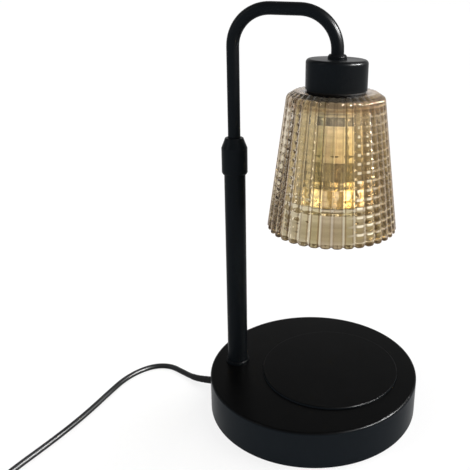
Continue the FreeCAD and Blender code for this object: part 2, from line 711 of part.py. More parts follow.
def shade_taper():
    """Change of radius per millimetre of height on the shade's side."""
    shoulder = SHADE_TOP - SHADE_SHOULDER_DROP
    return (SHADE_RIM_RADIUS - SHADE_SHOULDER_RADIUS) / (shoulder - SHADE_RIM)


def shade_glass():
    """Moulded glass: convex flutes outside, prismatic rings inside, a rounded shoulder."""
    taper = shade_taper()
    top_radius = SHADE_RIM_RADIUS - taper * (SHADE_TOP - SHADE_RIM)
    top_depth = FLUTE_DEPTH * top_radius / SHADE_RIM_RADIUS
    wires = [fluted_wire(SHADE_RIM, SHADE_RIM_RADIUS, FLUTE_DEPTH),
             fluted_wire(SHADE_TOP, top_radius, top_depth)]
    fluted = Part.makeLoft(wires, True, True)
    shoulder = SHADE_TOP - SHADE_SHOULDER_DROP
    lip_reach = SHADE_WALL + THROUGH
    lip_top = SHADE_RIM + LIP_SLOPE * (lip_reach - LIP_LAND)
    envelope = turned([(0, lip_top), (SHADE_RIM_RADIUS - lip_reach, lip_top),
                       (SHADE_RIM_RADIUS - LIP_LAND, SHADE_RIM), (SHADE_RIM_RADIUS + THROUGH, SHADE_RIM),
                       (SHADE_SHOULDER_RADIUS + THROUGH, shoulder, SHADE_SHOULDER_EDGE),
                       (SHADE_TOP_FLAT, SHADE_TOP, SHADE_TOP_EDGE), (0, SHADE_TOP)], LAMP_X)
    profile = [(0, SHADE_RIM - THROUGH),
               (SHADE_RIM_RADIUS - SHADE_WALL + taper * THROUGH, SHADE_RIM - THROUGH)]
    ring_pitch = (SHADE_UNDER - SHADE_RIM) / (RING_COUNT + 1)
    for index in range(RING_COUNT):
        valley = SHADE_RIM + (index + 0.5) * ring_pitch
        crest = valley + ring_pitch / 2
        profile.append((SHADE_RIM_RADIUS - SHADE_WALL - taper * (valley - SHADE_RIM), valley))
        profile.append((SHADE_RIM_RADIUS - SHADE_WALL - RING_HEIGHT - taper * (crest - SHADE_RIM), crest))
    ceiling_radius = SHADE_RIM_RADIUS - SHADE_WALL - taper * (SHADE_UNDER - SHADE_RIM)
    profile += [(ceiling_radius, SHADE_UNDER, SHADE_CEILING_EDGE), (0, SHADE_UNDER)]
    hollow = turned(profile, LAMP_X)
    neck = column(LAMP_X, 0, SHADE_UNDER - THROUGH, SHADE_TOP + THROUGH, SHADE_HOLE)
    return fluted.common(envelope).cut(hollow).cut(neck)


def shade_gasket(bottom):
    """Soft washer on one side of the glass."""
    inner = SLEEVE_RADIUS + AIR
    return ring(LAMP_X, bottom, bottom + GASKET_THICKNESS, inner + GASKET_WIDTH, inner)


def shade_ring():
    """Notched ring screwed up the sleeve to hold the glass."""
    body = ring(LAMP_X, LOCK_RING_TOP - LOCK_RING_HEIGHT, LOCK_RING_TOP, LOCK_RING_RADIUS,
                SLEEVE_RADIUS + FIT)
    notch = column(LAMP_X + LOCK_RING_RADIUS, 0, LOCK_RING_TOP - LOCK_RING_HEIGHT - THROUGH,
                   LOCK_RING_TOP + THROUGH, LOCK_RING_NOTCH)
    for copy in around(notch, LOCK_RING_NOTCHES, LAMP_X):
        body = body.cut(copy)
    return body


# ---------------------------------------------------------------- bulb

def bulb_base():
    """Ceramic base of the bulb."""
    bottom = BULB_SEAT - BULB_BASE_LENGTH
    return turned([(0, BULB_SEAT), (BULB_BASE_RADIUS, BULB_SEAT, BULB_BASE_EDGE), (BULB_BASE_RADIUS, bottom),
                   (0, bottom)], LAMP_X).cut(bulb_pin_roots())


def bulb_pin_roots():
    """Holes for the necks of the pins."""
    hole = column(LAMP_X, PIN_PITCH / 2, BULB_SEAT - PIN_ROOT, BULB_SEAT + THROUGH, PIN_NECK + FIT)
    return Part.makeCompound(around(hole, 2, LAMP_X))


def bulb_pins():
    """Two headed pins that hang on the lip of the holder."""
    head_bottom = HOLDER_FACE + LIP_THICKNESS + SEAT
    neck = column(LAMP_X, PIN_PITCH / 2, BULB_SEAT - PIN_ROOT, head_bottom + PIN_HEAD_HEIGHT / 2, PIN_NECK)
    head = column(LAMP_X, PIN_PITCH / 2, head_bottom, head_bottom + PIN_HEAD_HEIGHT, PIN_HEAD)
    return Part.makeCompound(around(neck.fuse(head), 2, LAMP_X))


def bulb_reflector():
    """Bell-shaped reflector between the base and the lens."""
    top = BULB_SEAT - BULB_BASE_LENGTH
    neck = BULB_SEAT - BULB_NECK_DROP
    rim = BULB_FACE + LENS_THICKNESS
    inner_face = BULB_FACE_RADIUS - BULB_WALL
    return turned([(CAPSULE_RADIUS + FIT, top), (BULB_BASE_RADIUS, top), (BULB_NECK_RADIUS, neck, BULB_BELL),
                   (BULB_FACE_RADIUS, rim + BULB_RIM), (BULB_FACE_RADIUS, rim), (inner_face, rim),
                   (inner_face, rim + BULB_RIM), (BULB_NECK_RADIUS - BULB_WALL, neck, BULB_BELL - BULB_WALL),
                   (BULB_BASE_RADIUS - 2 * BULB_WALL, top - 2 * BULB_WALL),
                   (CAPSULE_RADIUS + FIT, top - 2 * BULB_WALL)], LAMP_X)


def bulb_lens():
    """Front glass, slightly domed."""
    rim = BULB_FACE + LENS_THICKNESS
    return turned([(0, BULB_FACE), (BULB_FACE_RADIUS - LENS_DOME, BULB_FACE, LENS_EDGE),
                   (BULB_FACE_RADIUS, rim - LENS_RIM), (BULB_FACE_RADIUS, rim), (0, rim)], LAMP_X)


def bulb_capsule():
    """Inner halogen capsule, seated on the base."""
    top = BULB_SEAT - BULB_BASE_LENGTH
    bottom = top - CAPSULE_LENGTH
    return turned([(0, top), (CAPSULE_RADIUS, top), (CAPSULE_RADIUS, bottom, CAPSULE_END),
                   (0, bottom)], LAMP_X)


# ---------------------------------------------------------------- lead

def cord_edges(route):
    """Straight runs joined by arcs as large as the two runs at each point allow."""
    points = [Vector(*place) for place in route]
    radii = [0]
    for before, corner, after in zip(points, points[1:], points[2:]):
        back = corner - before
        ahead = after - corner
        half_turn = back.getAngle(ahead) / 2
        radii.append(ARC_SHARE * min(back.Length, ahead.Length) / math.tan(half_turn))
    radii.append(0)
    print("arc radii", [round(radius, 1) for radius in radii[1:-1]])
    return rounded_edges(points, radii)


def cord(route):
    """Round lead along a route."""
    edges = cord_edges(route)
    solid = pipe(edges, CORD_RADIUS)
    length = sum(edge.Length for edge in edges)
    print("lead length", round(length, 1), "volume share",
          round(solid.Volume / (math.pi * CORD_RADIUS ** 2 * length), 4))
    return solid


def cord_coil():
    """Outer shape of the neatly wound spare length."""
    inner = COIL_MEAN_RADIUS - COIL_BAND / 2
    outer = COIL_MEAN_RADIUS + COIL_BAND / 2
    shoulder = COIL_HEIGHT - COIL_EDGE
    band = turned([(inner + COIL_FOOT_EDGE, 0), (outer - COIL_FOOT_EDGE, 0), (outer, COIL_FOOT_EDGE),
                   (outer, shoulder), (outer - COIL_EDGE, COIL_HEIGHT), (inner + COIL_EDGE, COIL_HEIGHT),
                   (inner, shoulder), (inner, COIL_FOOT_EDGE)])
    band.translate(Vector(COIL_X, COIL_Y, 0))
    return band


def base_lead():
    """Lead inside the base, from the grommet up into the post."""
    points = [Vector(GLAND_OUTER_X, 0, GLAND_Z), Vector(POST_X, 0, GLAND_Z), Vector(POST_X, 0, LEAD_TOP)]
    return pipe(rounded_edges(points, [0, LEAD_BEND, 0]), CORD_RADIUS)


def relief(tip_x, direction):
    """Tapered strain relief with a neck and a collar that lock in the case wall."""
    outside = RELIEF_LENGTH - RELIEF_PLAY
    inside = RELIEF_LENGTH + DIMMER_WALL + RELIEF_PLAY
    end = RELIEF_LENGTH + DIMMER_WALL + RELIEF_COLLAR
    profile = [(0, 0), (RELIEF_TIP - RELIEF_EDGE, 0), (RELIEF_TIP, RELIEF_EDGE), (RELIEF_ROOT, outside),
               (RELIEF_NECK, outside), (RELIEF_NECK, inside), (RELIEF_ROOT, inside), (RELIEF_ROOT, end),
               (0, end)]
    return along_x(turned(profile), tip_x, CABLE_Y, CABLE_Z, direction)


# ---------------------------------------------------------------- dimmer

def case_outside():
    """Outer form of the closed dimmer case, rounded on every edge."""
    block = case_block(0, 0, DIMMER_HEIGHT)
    ends = [edge for edge in block.Edges if edge.BoundBox.ZLength < 1e-6]
    return block.makeFillet(DIMMER_EDGE, ends)


def case_block(inset, bottom, top):
    """Block with the case's plan, inset by a wall."""
    outline = plan_outline(DIMMER_X, CABLE_Y, bottom, DIMMER_LENGTH - 2 * inset, DIMMER_WIDTH - 2 * inset,
                           DIMMER_CORNER - inset)
    return Part.Face(outline).extrude(UP * (top - bottom))


def case_screw_places():
    """Centres of the two case screws, on opposite corners."""
    return [(DIMMER_X + CASE_SCREW_X, CABLE_Y + CASE_SCREW_Y),
            (DIMMER_X - CASE_SCREW_X, CABLE_Y - CASE_SCREW_Y)]


def case_half(bottom, top):
    """One half of the dimmer case between two heights, with its bosses and cable holes."""
    slab = case_block(-THROUGH, bottom, top)
    hollow = case_block(DIMMER_WALL, DIMMER_WALL, DIMMER_HEIGHT - DIMMER_WALL)
    shell = case_outside().cut(hollow)
    for x, y in case_screw_places():
        shell = shell.fuse(column(x, y, DIMMER_WALL, DIMMER_HEIGHT - DIMMER_WALL, CASE_BOSS))
        shell = shell.cut(column(x, y, -THROUGH, DIMMER_HEIGHT - 2 * DIMMER_WALL, CASE_SCREW_RADIUS + FIT))
        shell = shell.cut(column(x, y, -THROUGH, CASE_SCREW_SINK, CASE_SCREW_HEAD + FIT))
    cable = along_x(column(0, 0, 0, DIMMER_LENGTH + 2 * THROUGH, RELIEF_NECK + FIT),
                    DIMMER_LEFT - THROUGH, CABLE_Y, CABLE_Z)
    return shell.cut(cable.cut(hollow)).common(slab)


def dimmer_base():
    """Lower half of the dimmer case, with pillars for the board."""
    half = case_half(0, CABLE_Z)
    for x, y in board_pillars():
        half = half.fuse(column(x, y, DIMMER_WALL / 2, BOARD_Z, PILLAR_RADIUS))
    return half.removeSplitter()


def dimmer_cover():
    """Upper half of the dimmer case, with the hole for the wheel."""
    hole = column(DIMMER_X, CABLE_Y, DIMMER_HEIGHT - 2 * DIMMER_WALL, DIMMER_HEIGHT + THROUGH,
                  WHEEL_RADIUS + AIR)
    return case_half(CABLE_Z, DIMMER_HEIGHT).cut(hole).removeSplitter()


def board_pillars():
    """Centres of the pillars under the board, clear of the screws."""
    return [(DIMMER_X - CASE_SCREW_X / 2, CABLE_Y + CASE_SCREW_Y),
            (DIMMER_X + CASE_SCREW_X / 2, CABLE_Y - CASE_SCREW_Y)]


def dimmer_board():
    """Circuit board that carries the control."""
    length = DIMMER_LENGTH - 2 * (DIMMER_WALL + RELIEF_COLLAR + BOARD_MARGIN)
    width = DIMMER_WIDTH - 2 * BOARD_MARGIN
    board = Part.makeBox(length, width, BOARD_THICKNESS,
                         Vector(DIMMER_X - length / 2, CABLE_Y - width / 2, BOARD_Z))
    for x, y in case_screw_places():
        board = board.cut(column(x, y, 0, DIMMER_HEIGHT, CASE_BOSS + AIR))
    return board


def dimmer_pot():
    """Rotary control with the spindle that carries the wheel."""
    bottom = BOARD_Z + BOARD_THICKNESS
    body = Part.makeBox(POT_SIZE, POT_SIZE, POT_HEIGHT,
                        Vector(DIMMER_X - POT_SIZE / 2, CABLE_Y - POT_SIZE / 2, bottom))
    spindle = column(DIMMER_X, CABLE_Y, bottom + POT_HEIGHT / 2, bottom + POT_HEIGHT + SPINDLE_LENGTH,
                     SPINDLE_RADIUS)
    return body.fuse(spindle)


def dimmer_wheel():
    """Notched wheel that dims the bulb."""
    top = DIMMER_HEIGHT + WHEEL_RISE
    bottom = top - WHEEL_HEIGHT
    spindle_top = BOARD_Z + BOARD_THICKNESS + POT_HEIGHT + SPINDLE_LENGTH
    wheel = turned([(0, bottom), (WHEEL_RADIUS, bottom), (WHEEL_RADIUS, top - WHEEL_EDGE),
                    (WHEEL_RADIUS - WHEEL_EDGE, top), (0, top)])
    wheel.translate(Vector(DIMMER_X, CABLE_Y, 0))
    notch = column(DIMMER_X + WHEEL_RADIUS, CABLE_Y, DIMMER_HEIGHT + AIR, top + THROUGH, WHEEL_NOTCH)
    for copy in around(notch, WHEEL_NOTCHES, DIMMER_X, CABLE_Y):
        wheel = wheel.cut(copy)
    bore = column(DIMMER_X, CABLE_Y, bottom - THROUGH, spindle_top + SEAT, SPINDLE_RADIUS + RUN)
    return wheel.cut(bore)


def dimmer_screws():
    """Screws up through the lower half into the cover."""
    screws = []
    for x, y in case_screw_places():
        head = column(x, y, CASE_SCREW_SINK - CASE_SCREW_HEAD_HEIGHT, CASE_SCREW_SINK, CASE_SCREW_HEAD)
        shank = column(x, y, CASE_SCREW_SINK - CASE_SCREW_HEAD_HEIGHT / 2,
                       DIMMER_HEIGHT - 2 * DIMMER_WALL - SCREW_SPARE, CASE_SCREW_RADIUS)
        screws.append(head.fuse(shank))
    return Part.makeCompound(screws)


# ---------------------------------------------------------------- plug

def plug_pin_places():
    """Y of the two plug pins."""
    return [CABLE_Y - PLUG_PIN_SPACING / 2, CABLE_Y + PLUG_PIN_SPACING / 2]


def plug_body():
    """Flat moulded plug that widens towards its face."""
    sections = [(0, PLUG_REAR_WIDTH, PLUG_REAR_THICKNESS),
                (PLUG_SHOULDER, PLUG_WIDTH - PLUG_FLARE, PLUG_THICKNESS),
                (PLUG_BODY, PLUG_WIDTH, PLUG_THICKNESS)]
    wires = [end_outline(PLUG_REAR_X + offset, CABLE_Y, CABLE_Z, width, thickness, PLUG_CORNER)
             for offset, width, thickness in sections]
    body = Part.makeLoft(wires, True, True)
    face = PLUG_REAR_X + PLUG_BODY
    for y in plug_pin_places():
        root = column(0, 0, -PLUG_PIN_ROOT, THROUGH, PLUG_PIN_ROOT_RADIUS + FIT)
        body = body.cut(along_x(root, face, y, CABLE_Z))
    neck_end = DIMMER_WALL + RELIEF_PLAY
    neck = along_x(column(0, 0, -THROUGH, neck_end, RELIEF_NECK + FIT), PLUG_REAR_X, CABLE_Y, CABLE_Z)
    pocket = along_x(column(0, 0, neck_end, DIMMER_WALL + RELIEF_COLLAR, RELIEF_ROOT + FIT),
                     PLUG_REAR_X, CABLE_Y, CABLE_Z)
    return body.cut(neck).cut(pocket)


def plug_pins():
    """Two round pins with rounded tips."""
    face = PLUG_REAR_X + PLUG_BODY
    profile = [(0, -PLUG_PIN_ROOT), (PLUG_PIN_ROOT_RADIUS, -PLUG_PIN_ROOT), (PLUG_PIN_ROOT_RADIUS, 0),
               (PLUG_PIN_RADIUS, 0), (PLUG_PIN_RADIUS, PLUG_PIN_LENGTH, PLUG_PIN_TIP),
               (0, PLUG_PIN_LENGTH)]
    return Part.makeCompound([along_x(turned(profile), face, y, CABLE_Z) for y in plug_pin_places()])


NODES = {
    "base_shell": base_shell,
    "base_weight": base_weight,
    "base_plate": base_plate,
    "plate_screws": plate_screws,
    "foot_ring": foot_ring,
    "cord_gland": cord_gland,
    "base_lead": base_lead,
    "post_nipple": post_nipple,
    "post_washer": post_washer,
    "post_nut": post_nut,
    "post_plug": post_plug,
    "post_ring": post_ring,
    "post_tube": post_tube,
    "post_bush": post_bush,
    "collet": collet,
    "lock_collar": lock_collar,
    "glide_bush": glide_bush,
    "glide_clips": glide_clips,
    "arm_tube": arm_tube,
    "arm_lead": arm_lead,
    "arm_ferrule": arm_ferrule,
    "holder_cap": holder_cap,
    "cap_nut": cap_nut,
    "holder_sleeve": holder_sleeve,
    "grub_screws": grub_screws,
    "lampholder": lampholder,
    "holder_contacts": holder_contacts,
    "shade_gasket_upper": lambda: shade_gasket(SHADE_TOP),
    "shade_glass": shade_glass,
    "shade_gasket_lower": lambda: shade_gasket(SHADE_UNDER - GASKET_THICKNESS),
    "shade_ring": shade_ring,
    "bulb_base": bulb_base,
    "bulb_pins": bulb_pins,
    "bulb_reflector": bulb_reflector,
    "bulb_lens": bulb_lens,
    "bulb_capsule": bulb_capsule,
    "dimmer_base": dimmer_base,
    "dimmer_cover": dimmer_cover,
    "dimmer_screws": dimmer_screws,
    "dimmer_board": dimmer_board,
    "dimmer_pot": dimmer_pot,
    "dimmer_wheel": dimmer_wheel,
    "dimmer_relief_in": lambda: relief(DIMMER_LEFT - RELIEF_LENGTH, 1),
    "dimmer_relief_out": lambda: relief(DIMMER_RIGHT + RELIEF_LENGTH, -1),
    "plug_relief": lambda: relief(PLUG_REAR_X - RELIEF_LENGTH, 1),
    "plug_body": plug_body,
    "plug_pins": plug_pins,
    "lamp_cord": lambda: cord(LAMP_ROUTE),
    "coil_cord": lambda: cord(COIL_ROUTE),
    "cord_coil": cord_coil,
    "plug_cord": lambda: cord(TAIL_ROUTE),
}

os.makedirs("parts", exist_ok=True)
for name, make in NODES.items():
    make().exportStep("parts/" + name + ".step")
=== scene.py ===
"""Finishes, free leads and modelled pieces of a candle warmer lamp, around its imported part.

Metres, in the part's own frame: the base stands on the floor at the origin, +Z is up and the
lamp hangs on the +X side of its post.
"""

import logging
import math
from dataclasses import dataclass, field
from enum import Enum
from typing import NamedTuple

import bpy
import numpy as np
from mathutils import Matrix, Vector


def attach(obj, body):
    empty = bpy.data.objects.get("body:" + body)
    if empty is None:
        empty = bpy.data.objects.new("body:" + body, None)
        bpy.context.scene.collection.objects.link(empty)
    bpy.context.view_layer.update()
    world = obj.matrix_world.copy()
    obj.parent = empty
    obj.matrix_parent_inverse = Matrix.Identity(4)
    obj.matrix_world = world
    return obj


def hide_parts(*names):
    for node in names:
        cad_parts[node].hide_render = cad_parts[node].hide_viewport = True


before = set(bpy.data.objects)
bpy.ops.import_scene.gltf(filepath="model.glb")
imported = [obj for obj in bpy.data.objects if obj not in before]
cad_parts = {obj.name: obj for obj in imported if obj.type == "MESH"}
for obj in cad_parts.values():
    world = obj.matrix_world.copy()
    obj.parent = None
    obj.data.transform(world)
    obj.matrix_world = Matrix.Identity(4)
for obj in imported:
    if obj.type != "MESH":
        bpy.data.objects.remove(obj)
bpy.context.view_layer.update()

Point = tuple[float, float, float]
Colour = tuple[float, float, float]
Span = tuple[float, float]
Piece = bpy.types.Object
Socket = bpy.types.NodeSocket
Sockets = bpy.types.bpy_prop_collection

NO_LIGHT: Colour = (0.0, 0.0, 0.0)
# Most values of a noise lie between these two.
NOISE_MIDDLE: Span = (0.35, 0.65)
# Angle in degrees past which an edge of a moulded piece stays sharp.
MOULDED_EDGE = 50.0
log = logging.getLogger("candle_warmer")


# ---------------------------------------------------------------- surfaces

def unit(rows: np.ndarray) -> np.ndarray:
    """Each row divided by its own length."""
    return rows / np.maximum(np.linalg.norm(rows, axis=1, keepdims=True), 1e-9)


def circle_angles(sides: int) -> np.ndarray:
    """Angles of equal steps round a circle, from zero."""
    return np.arange(sides) * 2 * math.pi / sides


def rounded_profile(corners: list[Point], steps: int = 8) -> np.ndarray:
    """Closed outline in the (radius, height) plane with an arc at each corner.

    An arc of radius q touches both sides of its corner at q / tan(half the corner's angle) from
    it, and its points go round its centre in equal turns.

    Args:
        corners: radius, height and rounding of each corner, counter-clockwise.
        steps: pieces in each arc.

    Returns:
        Array of outline points, one row each.
    """
    places = np.array([corner[:2] for corner in corners])
    pieces = []
    for index, (here, corner) in enumerate(zip(places, corners)):
        rounding = corner[2]
        if rounding <= 0:
            pieces.append(here[None, :])
            continue
        back, ahead = unit(np.stack([places[index - 1], places[(index + 1) % len(corners)]]) - here)
        half = math.acos(float(np.clip(back @ ahead, -1, 1))) / 2
        inward = (back + ahead) / np.linalg.norm(back + ahead)
        centre = here + inward * rounding / math.sin(half)
        start = here + back * rounding / math.tan(half) - centre
        side = np.sign(start[0] * ahead[1] - start[1] * ahead[0])
        angles = side * np.linspace(0, math.pi - 2 * half, steps + 1)
        turned = np.stack([start[0] * np.cos(angles) - start[1] * np.sin(angles),
                           start[0] * np.sin(angles) + start[1] * np.cos(angles)], axis=1)
        pieces.append(centre + turned)
    return np.concatenate(pieces)


def grid_faces(rows: int, columns: int, closed_rows: bool) -> np.ndarray:
    """Quads of a grid that closes around its columns.

    Args:
        rows: rings of points.
        columns: points in each ring.
        closed_rows: whether the last ring joins the first.

    Returns:
        Array of four point numbers a face.
    """
    row = np.arange(rows if closed_rows else rows - 1)[:, None]
    column = np.arange(columns)[None, :]
    next_row = (row + 1) % rows
    next_column = (column + 1) % columns
    corners = [row * columns + column, row * columns + next_column,
               next_row * columns + next_column, next_row * columns + column]
    return np.stack(np.broadcast_arrays(*corners), axis=-1).reshape(-1, 4)


def capped_faces(rows: int, columns: int) -> list[list[int]]:
    """Faces of a tube of rings whose two ends close in a fan around a point.

    The two end points are numbered after the rings: first the lower one, then the upper one.
    """
    column = np.arange(columns)
    following = (column + 1) % columns
    top = (rows - 1) * columns
    lower, upper = np.full(columns, rows * columns), np.full(columns, rows * columns + 1)
    fans = np.concatenate([np.stack([following, column, lower], axis=1),
                           np.stack([top + column, top + following, upper], axis=1)])
    return grid_faces(rows, columns, False).tolist() + fans.tolist()


def outward(profile: np.ndarray) -> np.ndarray:
    """Unit normals of a closed counter-clockwise outline: its tangents, turned clockwise."""
    tangent = unit(np.roll(profile, -1, axis=0) - np.roll(profile, 1, axis=0))
    return np.stack([tangent[:, 1], -tangent[:, 0]], axis=1)


def revolved(profile: np.ndarray, centre: Span, sides: int,
             offset: np.ndarray | None = None) -> np.ndarray:
    """Points of a profile turned about a vertical axis.

    x = centre + radius cos(angle), y = centre + radius sin(angle), z = height, where radius and
    height are the profile's own plus the offset at that row and angle.

    Args:
        profile: rows of radius and height.
        centre: x and y of the axis.
        sides: points around.
        offset: change of radius and height for each row and angle.

    Returns:
        Array of points, ring after ring.
    """
    angles = circle_angles(sides)
    place = np.repeat(profile[:, None, :], sides, axis=1)
    if offset is not None:
        place = place + offset
    radius, height = place[..., 0], place[..., 1]
    return np.stack([centre[0] + radius * np.cos(angles), centre[1] + radius * np.sin(angles),
                     height], axis=-1).reshape(-1, 3)


def tube_points(path: np.ndarray, radii: np.ndarray, sides: int) -> np.ndarray:
    """Points of round rings across a path that never runs straight up.

    Each ring lies in the plane of side = tangent x up and lift = side x tangent, at
    path + radius (side cos(angle) + lift sin(angle)).

    Args:
        path: points along the middle.
        radii: radius at each of them.
        sides: points around.

    Returns:
        Array of points, ring after ring, then the two end points.
    """
    tangent = unit(np.gradient(path, axis=0))
    side = unit(np.cross(tangent, np.array([0.0, 0.0, 1.0])))
    lift = np.cross(side, tangent)
    angles = circle_angles(sides)[None, :, None]
    around = side[:, None, :] * np.cos(angles) + lift[:, None, :] * np.sin(angles)
    rings = path[:, None, :] + radii[:, None, None] * around
    return np.concatenate([rings.reshape(-1, 3), path[:1], path[-1:]])


def rib_grooves(share: np.ndarray, ribs: int, between: Span) -> np.ndarray:
    """Depth of the grooves between ribs, from 0 to 1.

    It is the square of a cosine where that is above zero, and nothing outside the given part.

    Args:
        share: places along the piece, from 0 to 1.
        ribs: waves over the whole length.
        between: the part that has grooves.

    Returns:
        The depth at each place.
    """
    wave = np.clip(np.cos(2 * math.pi * ribs * share), 0, 1) ** 2
    return wave * ((share > between[0]) & (share < between[1]))


def mesh_piece(name: str, points: np.ndarray, faces: list[list[int]],
               crease: float = 40.0) -> Piece:
    """A smooth-shaded mesh object at the origin, with its place in its mesh.

    Args:
        name: of the piece.
        points: its vertices.
        faces: its faces, turned outwards.
        crease: angle in degrees past which an edge stays sharp.

    Returns:
        The new object, linked to the scene.
    """
    mesh = bpy.data.meshes.new(name)
    mesh.from_pydata(points.tolist(), [], faces)
    mesh.update()
    mesh.shade_smooth()
    mesh.set_sharp_from_angle(angle=math.radians(crease))
    piece = bpy.data.objects.new(name, mesh)
    bpy.context.scene.collection.objects.link(piece)
    return piece


def ring_piece(name: str, profile: np.ndarray, centre: Span, sides: int, offset: np.ndarray,
               crease: float, repeats: int, levels: np.ndarray) -> Piece:
    """A closed ring turned from a closed profile, with a map called turns.

    Args:
        name: of the piece.
        profile: rows of radius and height.
        centre: x and y of its axis.
        sides: points around.
        offset: change of radius and height for each row and angle.
        crease: angle in degrees past which an edge stays sharp.
        repeats: how far the map's first coordinate runs in one turn.
        levels: the map's second coordinate at each row.

    Returns:
        The new object.
    """
    rows = len(profile)
    faces = grid_faces(rows, sides, True)
    piece = mesh_piece(name, revolved(profile, centre, sides, offset), faces.tolist(), crease)
    column = np.arange(sides)[None, :]
    around = np.stack(np.broadcast_arrays(column, column + 1, column + 1, column), axis=-1)
    around = np.broadcast_to(around, (rows, sides, 4)) * repeats / sides
    lower, upper = levels[:, None], np.roll(levels, -1)[:, None]
    rising = np.broadcast_to(np.stack([lower, lower, upper, upper], axis=-1), (rows, sides, 4))
    layer = piece.data.uv_layers.new(name="turns")
    layer.data.foreach_set("uv", np.stack([around, rising], axis=-1).astype(np.float32).ravel())
    return piece


def laid_along_x(points: np.ndarray, start: Point, direction: int) -> np.ndarray:
    """Points made about the vertical axis through the origin, laid along X from a start point.

    Height becomes the way along X, and the ring's own y stays: (x, y, z) goes to
    (direction z, y, -direction x), a quarter turn about Y.
    """
    laid = np.stack([direction * points[:, 2], points[:, 1], -direction * points[:, 0]], axis=1)
    return laid + np.array(start)


def route_line(curve: Piece) -> np.ndarray:
    """Points along a curve's own smooth line, read before it has any thickness."""
    bpy.context.view_layer.update()
    evaluated = curve.evaluated_get(bpy.context.evaluated_depsgraph_get())
    shown = bpy.data.meshes.new_from_object(evaluated)
    line = np.zeros(len(shown.vertices) * 3, np.float32)
    shown.vertices.foreach_get("co", line)
    bpy.data.meshes.remove(shown)
    return line.reshape(-1, 3).astype(float)


# ---------------------------------------------------------------- shader wiring

class Effect(Enum):
    """Shared effects, each a shader node group."""

    GRAIN = "grain"
    HANDLING = "handling"
    DUST = "dust"
    STREAKS = "streaks"
    CELLS = "cells"


class Wiring:
    """Adds nodes to one shader tree and joins them."""

    def __init__(self, tree: bpy.types.NodeTree) -> None:
        """Starts on an empty tree."""
        self.tree = tree
        self.count = 0

    def give(self, socket: Socket, value: object) -> None:
        """Sets a value on an input, or joins it where the value is a socket."""
        if isinstance(value, Socket):
            self.tree.links.new(value, socket)
        else:
            socket.default_value = value

    def node(self, kind: str, **values: object) -> bpy.types.Node:
        """Adds a node.

        Args:
            kind: its type, without the word ShaderNode.
            values: its properties, or its inputs where the name has a capital letter and
                underscores for spaces.

        Returns:
            The node.
        """
        node = self.tree.nodes.new("ShaderNode" + kind)
        node.location = (220 * (self.count % 8), -240 * (self.count // 8))
        self.count += 1
        for key, value in values.items():
            if key[0].isupper():
                self.give(node.inputs[key.replace("_", " ")], value)
            else:
                setattr(node, key, value)
        return node

    def combined(self, kind: str, operation: str, *values: object) -> Socket:
        """Joins values in order by an operation of a kind of node, and returns the outcome."""
        node = self.node(kind, operation=operation)
        for socket, value in zip(node.inputs, values):
            self.give(socket, value)
        return node.outputs[0]

    def maths(self, operation: str, *values: object) -> Socket:
        """Outcome of an operation on numbers."""
        return self.combined("Math", operation, *values)

    def vectors(self, operation: str, *values: object) -> Socket:
        """Outcome of an operation on vectors."""
        return self.combined("VectorMath", operation, *values)

    def times(self, first: object, *others: object) -> Socket:
        """Product of two or more numbers."""
        for other in others:
            first = self.maths("MULTIPLY", first, other)
        return first

    def apart(self, first: object, second: object) -> Socket:
        """How far two numbers lie from each other."""
        return self.maths("ABSOLUTE", self.maths("SUBTRACT", first, second))

    def spread(self, value: Socket, low: float, high: float, to_low: object = 0.0,
               to_high: object = 1.0) -> Socket:
        """Maps a number from one range to another, held within it."""
        return self.node("MapRange", Value=value, From_Min=low, From_Max=high, To_Min=to_low,
                         To_Max=to_high).outputs["Result"]

    def between(self, share: Socket, low: object, high: object) -> Socket:
        """Value that goes from low to high as a share goes from 0 to 1."""
        return self.spread(share, 0.0, 1.0, low, high)

    def noise(self, vector: Socket, scale: object, detail: float = 2.0) -> Socket:
        """Noise value at a place."""
        return self.node("TexNoise", Vector=vector, Scale=scale, Detail=detail).outputs["Fac"]

    def patches(self, vector: Socket, scale: object, detail: float = 2.0,
                span: Span = NOISE_MIDDLE) -> Socket:
        """Patches of noise: 0 up to the low end of a span of values, and 1 from its high end."""
        return self.spread(self.noise(vector, scale, detail), *span)

    def shine(self, surface: bpy.types.Node, light: Socket, strength: float) -> None:
        """Lets a surface give out its own light."""
        self.give(surface.inputs["Emission Color"], light)
        self.give(surface.inputs["Emission Strength"], strength)

    def part(self, vector: Socket, axis: str) -> Socket:
        """One part of a vector: X, Y or Z."""
        return self.node("SeparateXYZ", Vector=vector).outputs[axis]

    def uprightness(self) -> Socket:
        """Height of the surface's normal: 1 where the surface looks straight up."""
        return self.part(self.node("NewGeometry").outputs["Normal"], "Z")

    def effect(self, effect: Effect, **values: object) -> Sockets:
        """Outputs of a shared effect, placed with its own values."""
        return self.node("Group", node_tree=effect_group(effect), **values).outputs

    def blend(self, share: object, first: object, second: object) -> Socket:
        """Mixes two colours; a colour Mix node has them at its inputs 6 and 7."""
        node = self.node("Mix", data_type="RGBA")
        self.give(node.inputs[0], share)
        for slot, colour in ((6, first), (7, second)):
            self.give(node.inputs[slot], colour if isinstance(colour, Socket) else (*colour, 1.0))
        return node.outputs[2]


